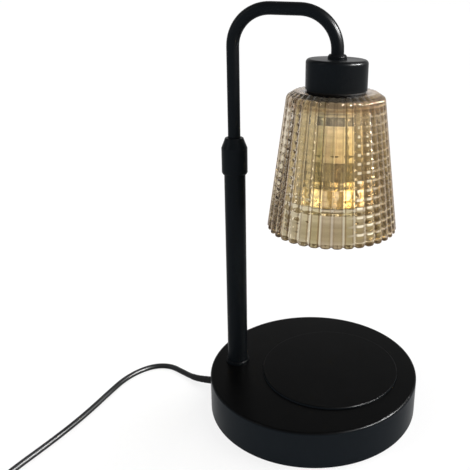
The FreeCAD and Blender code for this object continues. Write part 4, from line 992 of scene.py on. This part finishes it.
@dataclass
class Studio:
    """Camera, soft lights, pale floor and sky."""

    azimuth: float = 5.828
    elevation: float = 18.392
    distance: float = 0.42334
    roll: float = 1.614
    target: Point = (0.00151, 0.0, 0.15602)
    lens: float = 48.21
    shift_x: float = -0.1819
    shift_y: float = -0.0747
    floor_size: float = 40.0
    floor_bright: float = 0.8
    sky_fill: float = 0.55
    sun_strength: float = 2.3
    sun_width: float = 35.0
    sun_place: Point = (0.5, 0.35, 1.1)
    window_turns: Span = (70.0, 96.0)
    window_reach: float = 1.2
    window_height: float = 0.88
    window_aim: Point = (0.0, 0.0, 0.14)
    window_size: Span = (0.26, 0.30)
    window_power: float = 230.0
    strip_place: Point = (-1.0, -0.6, 0.95)
    strip_aim: Point = (0.0, 0.0, 0.12)
    strip_size: Span = (0.10, 0.9)
    strip_power: float = 5.0

    def build(self) -> None:
        """Makes everything around the object."""
        self.place_camera()
        self.lay_floor()
        self.light_sky()
        self.sun()
        for azimuth in self.window_turns:
            turn = math.radians(azimuth)
            place = (self.window_reach * math.sin(turn), -self.window_reach * math.cos(turn),
                     self.window_height)
            window = self.soft_light("window_light", place, self.window_aim, self.window_size,
                                     self.window_power)
            window.visible_diffuse = False
        self.soft_light("side_strip", self.strip_place, self.strip_aim, self.strip_size,
                        self.strip_power)
        log.info("studio ready")

    def place_camera(self) -> None:
        """Puts the camera on its ray from the target: back = (sin a cos e, -cos a cos e, sin e)."""
        a, e, r = (math.radians(angle) for angle in (self.azimuth, self.elevation, self.roll))
        back = Vector((math.sin(a) * math.cos(e), -math.cos(a) * math.cos(e), math.sin(e)))
        level = Vector((0, 0, 1)).cross(back).normalized()
        upward = back.cross(level)
        right = math.cos(r) * level + math.sin(r) * upward
        top = math.cos(r) * upward - math.sin(r) * level
        data = bpy.data.cameras.new("camera")
        data.lens = self.lens
        data.shift_x = self.shift_x
        data.shift_y = self.shift_y
        data.clip_start = 0.01
        camera = bpy.data.objects.new("camera", data)
        turned = Matrix((right, top, back)).transposed().to_4x4()
        moved = Matrix.Translation(Vector(self.target) + self.distance * back)
        camera.matrix_world = moved @ turned
        bpy.context.scene.collection.objects.link(camera)
        bpy.context.scene.camera = camera

    def lay_floor(self) -> None:
        """Lays a wide floor that stays near white and keeps the object's shadow."""
        corners = np.array([(-1, -1, 0), (1, -1, 0), (1, 1, 0), (-1, 1, 0)])
        floor = mesh_piece("floor", corners * self.floor_size / 2, [[0, 1, 2, 3]])
        material = bpy.data.materials.new("pale_floor")
        material.use_nodes = True
        material.node_tree.nodes.clear()
        wiring = Wiring(material.node_tree)
        matt = wiring.node("BsdfDiffuse", Color=(0.9, 0.9, 0.9, 1.0)).outputs["BSDF"]
        bright = wiring.node("Emission", Color=(1.0, 1.0, 1.0, 1.0),
                             Strength=1.0).outputs["Emission"]
        mixed = wiring.node("MixShader", Fac=wiring.times(self.seen(wiring), self.floor_bright))
        wiring.give(mixed.inputs[1], matt)
        wiring.give(mixed.inputs[2], bright)
        wiring.node("OutputMaterial", Surface=mixed.outputs["Shader"])
        floor.data.materials.append(material)

    def light_sky(self) -> None:
        """White sky where it is seen, and a softer level of it where it lights the object."""
        world = bpy.data.worlds.new("sky")
        bpy.context.scene.world = world
        world.use_nodes = True
        world.node_tree.nodes.clear()
        wiring = Wiring(world.node_tree)
        level = wiring.between(self.seen(wiring), self.sky_fill, 1.0)
        sky = wiring.node("Background", Color=(1.0, 1.0, 1.0, 1.0), Strength=level)
        wiring.node("OutputWorld", Surface=sky.outputs["Background"])

    @staticmethod
    def seen(wiring: Wiring) -> Socket:
        """One on rays that show the background: from the camera, off gloss or through glass."""
        path = wiring.node("LightPath").outputs
        both = wiring.maths("MAXIMUM", path["Is Camera Ray"], path["Is Glossy Ray"])
        return wiring.maths("MAXIMUM", both, path["Is Transmission Ray"])

    def sun(self) -> None:
        """Even soft light over the whole floor, so that it has no far edge."""
        data = bpy.data.lights.new("even_light", "SUN")
        data.energy = self.sun_strength
        data.angle = math.radians(self.sun_width)
        light = self.hang("even_light", data, self.sun_place, (0.0, 0.0, 0.0))
        light.visible_glossy = light.visible_transmission = False

    def soft_light(self, name: str, place: Point, aim: Point, size: Span, power: float) -> Piece:
        """Hangs an oblong soft light that faces a point.

        Args:
            name: of the light.
            place: of its middle.
            aim: the point that it faces.
            size: width and height.
            power: in watts.

        Returns:
            The light.
        """
        data = bpy.data.lights.new(name, "AREA")
        data.shape = "RECTANGLE"
        data.size, data.size_y = size
        data.energy = power
        return self.hang(name, data, place, aim)

    @staticmethod
    def hang(name: str, data: bpy.types.Light, place: Point, aim: Point) -> Piece:
        """Puts a light in its place and turns it to a point."""
        light = bpy.data.objects.new(name, data)
        light.location = place
        light.rotation_mode = "QUATERNION"
        light.rotation_quaternion = (Vector(aim) - Vector(place)).to_track_quat("-Z", "Y")
        bpy.context.scene.collection.objects.link(light)
        return light


# ---------------------------------------------------------------- free leads

@dataclass
class FreeLead:
    """One length of round mains lead on its listed route."""

    name: str
    route: list[Point]
    length: float
    far_end: str
    lay: str
    stands_for: tuple[str, ...]
    goes_with: tuple[str, ...]
    radius: float = 0.002
    line: np.ndarray = field(default_factory=lambda: np.zeros((0, 3)))

    def build(self) -> None:
        """Draws the lead as a smooth curve through its route's control points."""
        data = bpy.data.curves.new(self.name, "CURVE")
        data.dimensions = "3D"
        spline = data.splines.new("NURBS")
        spline.points.add(len(self.route) - 1)
        spline.points.foreach_set("co", [part for point in self.route for part in (*point, 1.0)])
        spline.order_u = 3
        spline.use_endpoint_u = True
        spline.resolution_u = 8
        lead = bpy.data.objects.new(self.name, data)
        bpy.context.scene.collection.objects.link(lead)
        self.line = route_line(lead)
        data.bevel_depth = self.radius
        data.bevel_resolution = 6
        data.use_fill_caps = True
        finish_piece(lead, "stand", "cord_jacket", SHEATH)
        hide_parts(*self.stands_for)


@dataclass
class Coil:
    """Turns of the spare lead, three on the floor and two and two on them, and their tie."""

    centre: Span = (-0.022, -0.1423)
    floor_z: float = 0.002
    pitch: float = 0.004
    inner: float = 0.0197
    points_per_turn: int = 16
    crossing_start: float = 0.72
    crossing_share: float = 0.26
    tie_lift: float = 0.0007
    lift_slope: float = 2.5
    tie_half_width: float = 0.0067
    tie_low: float = 0.0006
    tie_high: float = 0.0120
    tie_rounding: float = 0.0022
    tie_wall: float = 0.0005
    tie_reach: float = 0.0035

    def control_points(self) -> list[Point]:
        """Control points of the turns, from the coil's front point round to it again.

        Each turn keeps its radius and height for nearly three quarters of the way and then goes
        over to the next one's. A smooth curve of order 3 lies inside its control points by the
        factor (3 + cos(step)) / 4, so their radius is larger by it. At the back the turns rise
        by the lift, over the tie.
        """
        rise = self.pitch * math.sqrt(3) / 2
        middle, outer = self.inner + self.pitch, self.inner + 2 * self.pitch
        between = self.inner + self.pitch / 2
        radii = np.array([outer, middle, self.inner, between, between + self.pitch, middle, outer,
                          outer])
        levels = self.floor_z + rise * np.array([0.0, 0.0, 0.0, 1.0, 1.0, 2.0, 2.0, 2.0])
        turns = len(radii) - 1
        along = np.arange(1, turns * self.points_per_turn) / self.points_per_turn
        which = np.floor(along).astype(int)
        share = np.clip((along - which - self.crossing_start) / self.crossing_share, 0, 1)
        step = 2 * math.pi / self.points_per_turn
        drawn = radii[which] + share * (radii[which + 1] - radii[which])
        radius = drawn * 4 / (3 + math.cos(step))
        angle = 2 * math.pi * along - math.pi / 2
        height = levels[which] + share * (levels[which + 1] - levels[which])
        lifted = self.lift_slope * np.sin(angle) - (self.lift_slope - 1)
        height += self.tie_lift * np.clip(lifted, 0, 1)
        points = np.stack([self.centre[0] + radius * np.cos(angle),
                           self.centre[1] + radius * np.sin(angle), height], axis=1)
        return [tuple(point) for point in points.tolist()]

    def add_tie(self) -> None:
        """Closes a flat woven tie round the bundle at the back of the coil.

        Its middle line is a rounded box in the plane of radius and height, swept along the lead
        by its reach to each side, and its wall stands out from that line.
        """
        half, low, high = self.tie_half_width, self.tie_low, self.tie_high
        rounding = self.tie_rounding
        outline = rounded_profile([(-half, low, rounding), (half, low, rounding),
                                   (half, high, rounding), (-half, high, rounding)])
        away = unit(outline - outline.mean(axis=0))
        middle = self.centre[1] + self.inner + self.pitch
        rings = []
        for offset, along in ((0.0, -self.tie_reach), (0.0, self.tie_reach),
                              (self.tie_wall, self.tie_reach), (self.tie_wall, -self.tie_reach)):
            across, height = (outline + offset * away).T
            rings.append(np.stack([np.full(len(outline), self.centre[0] + along),
                                   middle + across, height], axis=1))
        faces = grid_faces(len(rings), len(outline), True)[:, ::-1].tolist()
        piece = mesh_piece("coil_tie", np.concatenate(rings), faces, MOULDED_EDGE)
        finish_piece(piece, "stand", "black_plastic", TIE)


@dataclass
class Leads:
    """Both lengths of the mains lead, its coil and its strain reliefs."""

    gland: Point = (-0.0766, 0.0, 0.0067)
    dimmer_in: Point = (-0.142, -0.170, 0.007)
    dimmer_out: Point = (-0.052, -0.170, 0.007)
    plug_in: Point = (0.008, -0.170, 0.007)
    relief_length: float = 0.021
    relief_tip: float = 0.0029
    relief_root: float = 0.0042
    relief_bore: float = 0.00202
    relief_stub: float = 0.003
    relief_ribs: int = 6
    relief_ribbed: Span = (0.06, 0.93)
    relief_groove: float = 0.0008
    relief_rows: int = 91
    relief_sides: int = 40
    boot_length: float = 0.02
    boot_root: float = 0.0027
    boot_tip: float = 0.0022
    boot_ribs: int = 5
    boot_ribbed: Span = (0.08, 0.9)
    boot_groove: float = 0.00012
    boot_rows: int = 61
    boot_sides: int = 36

    def build(self) -> None:
        """Builds the leads first, then what sits on them."""
        coil = Coil()
        lamp_lead = FreeLead(
            "lamp_lead",
            [self.gland, (-0.0855, 0.0017, 0.0056), (-0.0945, 0.0072, 0.0029),
             (-0.1048, 0.0138, 0.002), (-0.1162, 0.0203, 0.002), (-0.1284, 0.0192, 0.002),
             (-0.1386, 0.0106, 0.002), (-0.146, -0.0026, 0.002), (-0.15, -0.0195, 0.002),
             (-0.1542, -0.04, 0.002), (-0.1598, -0.061, 0.002), (-0.167, -0.082, 0.002),
             (-0.175, -0.103, 0.002), (-0.181, -0.125, 0.002), (-0.1805, -0.1475, 0.002),
             (-0.1725, -0.163, 0.0026), (-0.1575, -0.17, 0.0052), self.dimmer_in],
            0.284, "fitting", "loose", ("lamp_cord",),
            ("dimmer_base", "dimmer_cover", "dimmer_wheel", "dimmer_screws", "cord_gland"))
        lamp_lead.build()
        plug_lead = FreeLead(
            "plug_lead",
            [self.dimmer_out, (-0.0405, -0.17, 0.0053), (-0.0305, -0.1702, 0.0026),
             (-0.022, -0.1705, 0.002)]
            + coil.control_points()
            + [(-0.022, -0.1704, 0.0091), (-0.013, -0.1704, 0.0092), (-0.0035, -0.1702, 0.0082),
               self.plug_in],
            1.1, "plug", "coiled", ("coil_cord", "cord_coil", "plug_cord"),
            ("plug_body", "plug_pins"))
        plug_lead.build()
        coil.add_tie()
        self.add_relief("relief_in", self.dimmer_in, 1, "dimmer_relief_in")
        self.add_relief("relief_out", self.dimmer_out, -1, "dimmer_relief_out")
        self.add_relief("relief_plug", self.plug_in, 1, "plug_relief")
        self.add_boot(lamp_lead.line)
        dress_nodes(SHEATH, "base_lead", "arm_lead")
        dress_nodes(BLACK_RUBBER, "cord_gland")

    def add_relief(self, name: str, tip: Point, direction: int, stands_for: str) -> None:
        """Adds a tapered strain relief with grooves between its ribs.

        Its radius grows evenly from tip to root, less the grooves; behind the root it keeps a
        plain stub inside the wall.

        Args:
            name: of the piece.
            tip: where the lead enters it.
            direction: 1 if it widens towards +X, and -1 towards -X.
            stands_for: CAD node that it replaces.
        """
        along = np.linspace(0, self.relief_length, self.relief_rows)
        share = along / self.relief_length
        taper = self.relief_tip + share * (self.relief_root - self.relief_tip)
        grooves = rib_grooves(share, self.relief_ribs, self.relief_ribbed)
        stub, stub_end = 0.75 * self.relief_root, self.relief_length + self.relief_stub
        profile = np.concatenate([
            np.stack([taper - self.relief_groove * grooves, along], axis=1),
            np.array([(stub, self.relief_length), (stub, stub_end), (self.relief_bore, stub_end),
                      (self.relief_bore, 0.0)])])
        points = laid_along_x(revolved(profile, (0.0, 0.0), self.relief_sides), tip, direction)
        faces = grid_faces(len(profile), self.relief_sides, True).tolist()
        piece = mesh_piece(name, points, faces, MOULDED_EDGE)
        finish_piece(piece, "stand", "black_plastic", BLACK_PLASTIC)
        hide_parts(stands_for)

    def add_boot(self, line: np.ndarray) -> None:
        """Adds the tapered boot that guides the lead out of the base, along the lead's own line."""
        lengths = np.linalg.norm(np.diff(line, axis=0), axis=1)
        travelled = np.concatenate([[0.0], np.cumsum(lengths)])
        stations = np.linspace(0.0, self.boot_length, self.boot_rows)
        path = np.stack([np.interp(stations, travelled, part) for part in line.T], axis=1)
        share = stations / self.boot_length
        taper = self.boot_root + share * (self.boot_tip - self.boot_root)
        radii = taper - self.boot_groove * rib_grooves(share, self.boot_ribs, self.boot_ribbed)
        piece = mesh_piece("lead_boot", tube_points(path, radii, self.boot_sides),
                           capped_faces(self.boot_rows, self.boot_sides), MOULDED_EDGE)
        finish_piece(piece, "stand", "black_rubber", BLACK_RUBBER)


# ---------------------------------------------------------------- shade

@dataclass
class Shade:
    """Moulded glass shade: convex flutes outside, rounded rings inside, lobes round the rim."""

    axis_x: float = 0.0096
    rim_z: float = 0.1386
    top_z: float = 0.2295
    rim_radius: float = 0.0436
    shoulder_radius: float = 0.0317
    shoulder_drop: float = 0.0033
    shoulder_edge: float = 0.0026
    flat_radius: float = 0.0265
    flat_edge: float = 0.002
    hole_radius: float = 0.0146
    seat_radius: float = 0.0190
    wall: float = 0.003
    top_wall: float = 0.0032
    flutes: int = 36
    flute_depth: float = 0.0013
    lip_slope: float = 0.8
    lip_land: float = 0.0003
    lobe_from: float = 0.0012
    lobe_height: float = 0.006
    rings: int = 15
    ring_height: float = 0.0006
    ring_sharpness: float = 0.7
    columns_per_flute: int = 12
    rows_per_ring: int = 8
    low_rows: tuple[float, ...] = (0.0003, 0.0006, 0.0012, 0.0022, 0.0036)
    side_rows: int = 24
    side_from: float = 0.0056
    side_margin: float = 0.0016
    upright_rows: int = 8
    crest_in: float = 0.0001
    lip_out: tuple[float, ...] = (0.0009, 0.0005, 0.00025)
    lip_crest: Span = (0.00008, 0.00006)
    lip_lobes: tuple[float, ...] = (0.0, 0.45, 0.9, 1.0, 1.0)

    def build(self) -> None:
        """Builds the glass and dresses the washers and the ring that hold it."""
        glass, inside = self.glass()
        finish_piece(glass, "arm", "amber_glass", AMBER_LUSTRE, AMBER_GLASS)
        glass.data.polygons.foreach_set("material_index", inside)
        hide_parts("shade_glass")
        dress_nodes(BLACK_RUBBER, "shade_gasket_upper", "shade_gasket_lower")
        dress_nodes(ZINC_STEEL, "shade_ring")

    def side_radius(self, height: np.ndarray) -> np.ndarray:
        """Crest radius of the side: it falls evenly from the rim to the shoulder."""
        shoulder_z = self.top_z - self.shoulder_drop
        slope = (self.rim_radius - self.shoulder_radius) / (shoulder_z - self.rim_z)
        return self.rim_radius - slope * (height - self.rim_z)

    def outer_rows(self) -> tuple[np.ndarray, np.ndarray]:
        """Outline from the rim up over the shoulder to the hole, and the share of flutes on it."""
        shoulder_z = self.top_z - self.shoulder_drop
        low = self.rim_z + np.array(self.low_rows)
        high = np.linspace(self.rim_z + self.side_from, shoulder_z - self.side_margin,
                           self.side_rows)
        heights = np.concatenate([low, high])
        side = np.stack([self.side_radius(heights), heights], axis=1)
        side[0, 0] -= self.crest_in
        below = shoulder_z - 0.03
        bend = rounded_profile([(float(self.side_radius(np.array(below))), below, 0.0),
                                (self.shoulder_radius, shoulder_z, self.shoulder_edge),
                                (self.flat_radius, self.top_z, self.flat_edge),
                                (self.seat_radius, self.top_z, 0.0),
                                (self.hole_radius, self.top_z, 0.0)])[1:]
        outline = np.concatenate([side, bend])
        reach = (outline[:, 0] - self.seat_radius) / (self.shoulder_radius - self.seat_radius)
        return outline, np.clip(reach, 0, 1)

    def inner_rows(self) -> np.ndarray:
        """Outline from the hole along the ceiling and down the ringed inside to the lip.

        Each ring stands in by its height times a power of half of one minus a cosine, once per
        pitch.
        """
        ceiling_z = self.top_z - self.top_wall
        lip_z = self.rim_z + self.lip_slope * (self.wall - self.lip_land)
        rows = self.rings * self.rows_per_ring
        heights = np.linspace(ceiling_z - 0.0016, lip_z + 0.0003, rows)
        phase = (heights - self.rim_z) / self.pitch() - 0.5
        ringed = (phase > 0) & (phase < self.rings)
        lobe = np.where(ringed, 0.5 - 0.5 * np.cos(2 * math.pi * phase), 0.0) ** self.ring_sharpness
        radius = self.side_radius(heights) - self.wall - self.ring_height * lobe
        neck = np.array([(self.hole_radius, ceiling_z), (self.seat_radius, ceiling_z),
                         (radius[0] - 0.0016, ceiling_z), (radius[0] - 0.0004, ceiling_z - 0.0005)])
        return np.concatenate([neck, np.stack([radius, heights], axis=1)])

    def lip_rows(self) -> tuple[np.ndarray, np.ndarray]:
        """Outline of the rim's underside, from its inner edge out, and the share of lobes on it."""
        out = np.array([self.wall - self.lip_land, self.wall / 2, *self.lip_out])
        rise = self.lip_slope * np.maximum(out - self.lip_land, 0)
        rise[-2:] = self.lip_crest
        outline = np.stack([self.rim_radius - out, self.rim_z + rise], axis=1)
        return outline, np.array(self.lip_lobes)

    def pitch(self) -> float:
        """Height from ring to ring."""
        return (self.top_z - self.top_wall - self.rim_z) / (self.rings + 1)

    def glass(self) -> tuple[Piece, np.ndarray]:
        """The closed glass wall, and 1 for each of its faces that looks inwards.

        Every outer point moves in along the outline's normal by the flute depth times the square
        of its distance from the crest, in half flutes. Round the rim it also rises, by the slope
        of the lip times that move, so each flute ends in a lobe.
        """
        outer, outer_share = self.outer_rows()
        inner = self.inner_rows()
        lip, lip_share = self.lip_rows()
        profile = np.concatenate([outer, inner, lip])
        inner_part = slice(len(outer), len(outer) + len(inner))
        fluted = np.concatenate([outer_share, np.zeros(len(inner)), lip_share])
        over_lobes = profile[:, 1] - self.rim_z - self.lobe_from
        near_rim = fluted * np.clip(1 - over_lobes / self.lobe_height, 0, 1)
        sides = self.flutes * self.columns_per_flute
        across = (np.arange(sides) % self.columns_per_flute) / self.columns_per_flute
        from_crest = 2 * np.minimum(across, 1 - across)
        narrowing = np.minimum(profile[:, 0] / self.rim_radius, 1)
        inward = self.flute_depth * (fluted * narrowing)[:, None] * from_crest[None, :] ** 2
        normal = outward(profile)
        normal[-len(lip):] = (1.0, 0.0)
        normal[:self.upright_rows] = (1.0, 0.0)
        rise = self.lip_slope * near_rim[:, None] * np.maximum(inward - self.lip_land, 0)
        offset = np.stack([-normal[:, :1] * inward, -normal[:, 1:] * inward + rise], axis=-1)
        piece = ring_piece("fluted_shade", profile, (self.axis_x, 0.0), sides, offset, crease=70.0,
                           repeats=self.flutes, levels=(profile[:, 1] - self.rim_z) / self.pitch())
        inside = np.zeros((len(profile), sides), np.int32)
        inside[inner_part] = 1
        return piece, inside.ravel()


# ---------------------------------------------------------------- bulb

@dataclass
class ReflectorBulb:
    """Reflector bulb with a faceted bell, a front glass and a small lit capsule."""

    axis_x: float = 0.0096
    seat_z: float = 0.20385
    base_length: float = 0.018
    base_radius: float = 0.0125
    hole_radius: float = 0.00505
    neck_radius: float = 0.017
    neck_z: float = 0.17085
    face_radius: float = 0.0248
    rim_z: float = 0.15685
    rim_height: float = 0.003
    wall: float = 0.0012
    facets: int = 36
    facet_length: float = 0.0042
    facet_depth: float = 0.0003
    plain_top: float = 0.004
    map_level: float = 0.007
    columns_per_facet: int = 8
    row_step: float = 0.0012
    filament_z: float = 0.17285
    filament_half: float = 0.003
    filament_radius: float = 0.0008
    filament_turns: int = 9
    filament_steps: int = 24
    wire_radius: float = 0.00014
    wire_sides: int = 8

    def build(self) -> None:
        """Builds the bell and the filament and dresses the rest."""
        bell = finish_piece(self.bell(), "bulb", "reflector", REFLECTOR)
        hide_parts("bulb_reflector")
        finish_piece(self.filament(), "bulb", "brass", FILAMENT)
        dress_nodes(PAINTED_GLOW_CERAMIC, "bulb_base")
        dress_nodes(NICKEL, "bulb_pins")
        dress_nodes(CLEAR_GLASS, "bulb_lens", "bulb_capsule")

    def bell(self) -> Piece:
        """The faceted bell.

        Its wall follows the outline of the reflector; inside and out it is pressed into facets,
        a depth times the product of a sine around and a sine along, taken without its sign.
        """
        top, open_z, wall = self.seat_z - self.base_length, self.rim_z + self.rim_height, self.wall
        corners = rounded_profile([
            (self.face_radius - wall, self.rim_z, 0.0), (self.face_radius, self.rim_z, 0.0004),
            (self.face_radius, open_z, 0.0015), (self.neck_radius, self.neck_z, 0.009),
            (self.base_radius, top, 0.0), (self.hole_radius, top, 0.0),
            (self.hole_radius, top - 2 * wall, 0.0),
            (self.base_radius - 2 * wall, top - 2 * wall, 0.0),
            (self.neck_radius - wall, self.neck_z, 0.0078),
            (self.face_radius - wall, open_z, 0.0012)])
        following = np.roll(corners, -1, axis=0)
        lengths = np.linalg.norm(following - corners, axis=1)
        counts = np.maximum(1, np.ceil(lengths / self.row_step)).astype(int)
        profile = np.concatenate([here + (there - here) * (np.arange(count) / count)[:, None]
                                  for here, there, count in zip(corners, following, counts)])
        sides = self.facets * self.columns_per_facet
        around = np.abs(np.sin(np.arange(sides) * math.pi * self.facets / sides))
        along = np.abs(np.sin((profile[:, 1] - self.rim_z) * math.pi / self.facet_length))
        within = (profile[:, 1] > open_z) & (profile[:, 1] < top - self.plain_top)
        inward = self.facet_depth * (along * within)[:, None] * around[None, :]
        offset = np.stack([-inward, np.zeros_like(inward)], axis=-1)
        return ring_piece("bulb_bell", profile, (self.axis_x, 0.0), sides, offset, crease=60.0,
                          repeats=self.facets, levels=(profile[:, 1] - self.rim_z) / self.map_level)

    def filament(self) -> Piece:
        """A short coiled wire across the capsule: a helix about a line along X."""
        share = np.linspace(0, 1, self.filament_steps * self.filament_turns + 1)
        angle = 2 * math.pi * self.filament_turns * share
        path = np.stack([self.axis_x + self.filament_half * (2 * share - 1),
                         self.filament_radius * np.cos(angle),
                         self.filament_z + self.filament_radius * np.sin(angle)], axis=1)
        points = tube_points(path, np.full(len(path), self.wire_radius), self.wire_sides)
        return mesh_piece("bulb_filament", points, capped_faces(len(path), self.wire_sides))


# ---------------------------------------------------------------- stand, arm and dimmer

@dataclass
class Stand:
    """Base, post and collar."""

    def build(self) -> None:
        """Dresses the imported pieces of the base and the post."""
        dress_nodes(PAINTED_LIGHT_BASE_COAT, "base_shell")
        dress_nodes(BLACK_COAT, "post_ring", "post_tube", "lock_collar")
        dress_nodes(CAST_IRON, "base_weight")
        dress_nodes(DARK_STEEL, "base_plate")
        dress_nodes(ZINC_STEEL, "plate_screws", "post_washer", "post_nut", "post_plug")
        dress_nodes(BLACK_RUBBER, "foot_ring")
        dress_nodes(BRASS, "post_nipple")
        dress_nodes(NYLON, "post_bush", "collet")


@dataclass
class Arm:
    """Hook, cap and lamp holder."""

    def build(self) -> None:
        """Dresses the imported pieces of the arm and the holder."""
        dress_nodes(BLACK_COAT, "arm_tube", "arm_ferrule", "holder_cap")
        dress_nodes(NYLON, "glide_bush")
        dress_nodes(ZINC_STEEL, "glide_clips", "cap_nut", "holder_sleeve", "grub_screws")
        dress_nodes(PAINTED_GLOW_CERAMIC, "lampholder")
        dress_nodes(BRASS, "holder_contacts")


@dataclass
class Dimmer:
    """Inline dimmer and plug."""

    def build(self) -> None:
        """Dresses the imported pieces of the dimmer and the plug."""
        dress_nodes(BLACK_PLASTIC, "dimmer_base", "dimmer_cover", "dimmer_wheel", "plug_body")
        dress_nodes(ZINC_STEEL, "dimmer_screws")
        dress_nodes(BOARD, "dimmer_board")
        dress_nodes(DARK_STEEL, "dimmer_pot")
        dress_nodes(NICKEL, "plug_pins")


def write_sizes() -> None:
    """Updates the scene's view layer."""
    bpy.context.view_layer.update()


def main() -> None:
    """Builds the studio, the leads and then each sub-assembly."""
    logging.basicConfig(level=logging.INFO, format="%(message)s")
    bpy.context.scene.view_settings.view_transform = "Standard"
    for assembly in (Studio(), Leads(), Stand(), Arm(), Shade(), ReflectorBulb(), Dimmer()):
        assembly.build()
        log.info("%s done", type(assembly).__name__)
    write_sizes()


if __name__ == "__main__":
    main()
